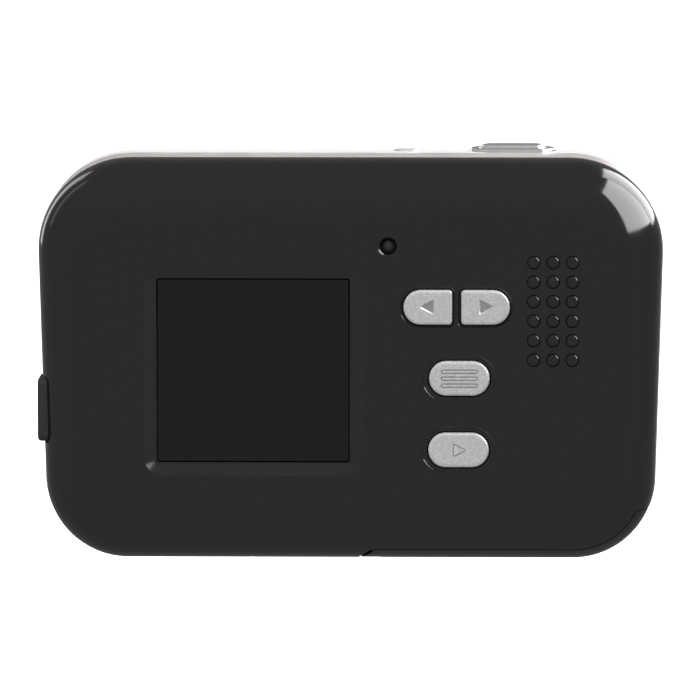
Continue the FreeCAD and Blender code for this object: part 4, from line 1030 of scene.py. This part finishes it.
def make_world():
    """A white surround that is a little brighter behind the viewpoint than beyond the camera."""
    world = bpy.data.worlds.new("studio")
    world.use_nodes = True
    tree = world.node_tree
    background = tree.nodes["Background"]
    background.inputs["Color"].default_value = (1, 1, 1, 1)
    place = tree.nodes.new("ShaderNodeTexCoord")
    split = tree.nodes.new("ShaderNodeSeparateXYZ")
    glow = tree.nodes.new("ShaderNodeMapRange")
    glow.inputs["From Min"].default_value = -0.3
    glow.inputs["From Max"].default_value = 0.65
    glow.inputs["To Min"].default_value = 0.43
    glow.inputs["To Max"].default_value = 0.2
    tree.links.new(place.outputs["Generated"], split.inputs["Vector"])
    tree.links.new(split.outputs["Y"], glow.inputs["Value"])
    tree.links.new(glow.outputs["Result"], background.inputs["Strength"])
    bpy.context.scene.world = world


# name, width and height, watts, place, facing, kind of ray that the light is hidden from
LIGHTS = [
    ("key", (1.35, 1.4), 50, (1.0, -0.06, 1.0), (-1, 0, 0), "diffuse"),
    ("shine", (0.72, 0.72), 9, (0.42, 0.61, 0.49), (-1, 0, 0), "diffuse"),
    ("rim_left", (0.15, 0.9), 0.3, (-1.0, 0.5, 0.7), (1, -0.4, -0.5), None),
    ("top_fill", (1.5, 1.5), 28, (0.2, -0.3, 1.8), (-0.1, 0.15, -1), "glossy"),
    ("fill", (1.5, 1.0), 36, (-0.2, -1.6, 1.2), (0.1, 1, -0.7), "glossy"),
    ("front_fill", (1.6, 1.2), 26, (0.6, 1.7, 1.1), (-0.35, -1, -0.62), "glossy"),
    ("front_strip", (0.25, 1.0), 1.6, (-0.75, 1.0, 0.45), (0.75, -1, -0.4), None),
]


def make_lights():
    for name, size, power, place, facing, hidden in LIGHTS:
        light = bpy.data.lights.new(name, "AREA")
        light.shape = "RECTANGLE"
        light.size, light.size_y = size
        light.energy = power
        obj = bpy.data.objects.new(name, light)
        obj.location = place
        obj.rotation_mode = "QUATERNION"
        obj.rotation_quaternion = Vector(facing).to_track_quat("-Z", "Y")
        obj.visible_camera = False
        obj.visible_diffuse = hidden != "diffuse"
        obj.visible_glossy = hidden != "glossy"
        bpy.context.scene.collection.objects.link(obj)


def make_camera():
    """The viewpoint, one metre behind the camera body and slightly above it."""
    data = bpy.data.cameras.new("view")
    data.sensor_width = 36
    data.lens = FOCAL_LENGTH
    data.clip_start = 0.1
    data.clip_end = 20
    obj = bpy.data.objects.new("view", data)
    azimuth = math.radians(AZIMUTH)
    elevation = math.radians(ELEVATION)
    back = Vector((math.sin(azimuth) * math.cos(elevation),
                   -math.cos(azimuth) * math.cos(elevation),
                   math.sin(elevation)))
    obj.location = Vector(TARGET) + back
    obj.rotation_mode = "QUATERNION"
    obj.rotation_quaternion = (-back).to_track_quat("-Z", "Y")
    bpy.context.scene.collection.objects.link(obj)
    bpy.context.scene.camera = obj
    bpy.context.scene.view_settings.view_transform = "Standard"


dress_nodes()
make_rear_cover()
make_mid_frame()
make_front_cover()
make_battery_door()
make_port_cover()
make_screws()
make_tripod_bush()
make_rear_buttons()
make_display()
make_lamp()
make_top_controls()
make_lens()
make_flash_window()
make_sweep()
make_world()
make_lights()
make_camera()
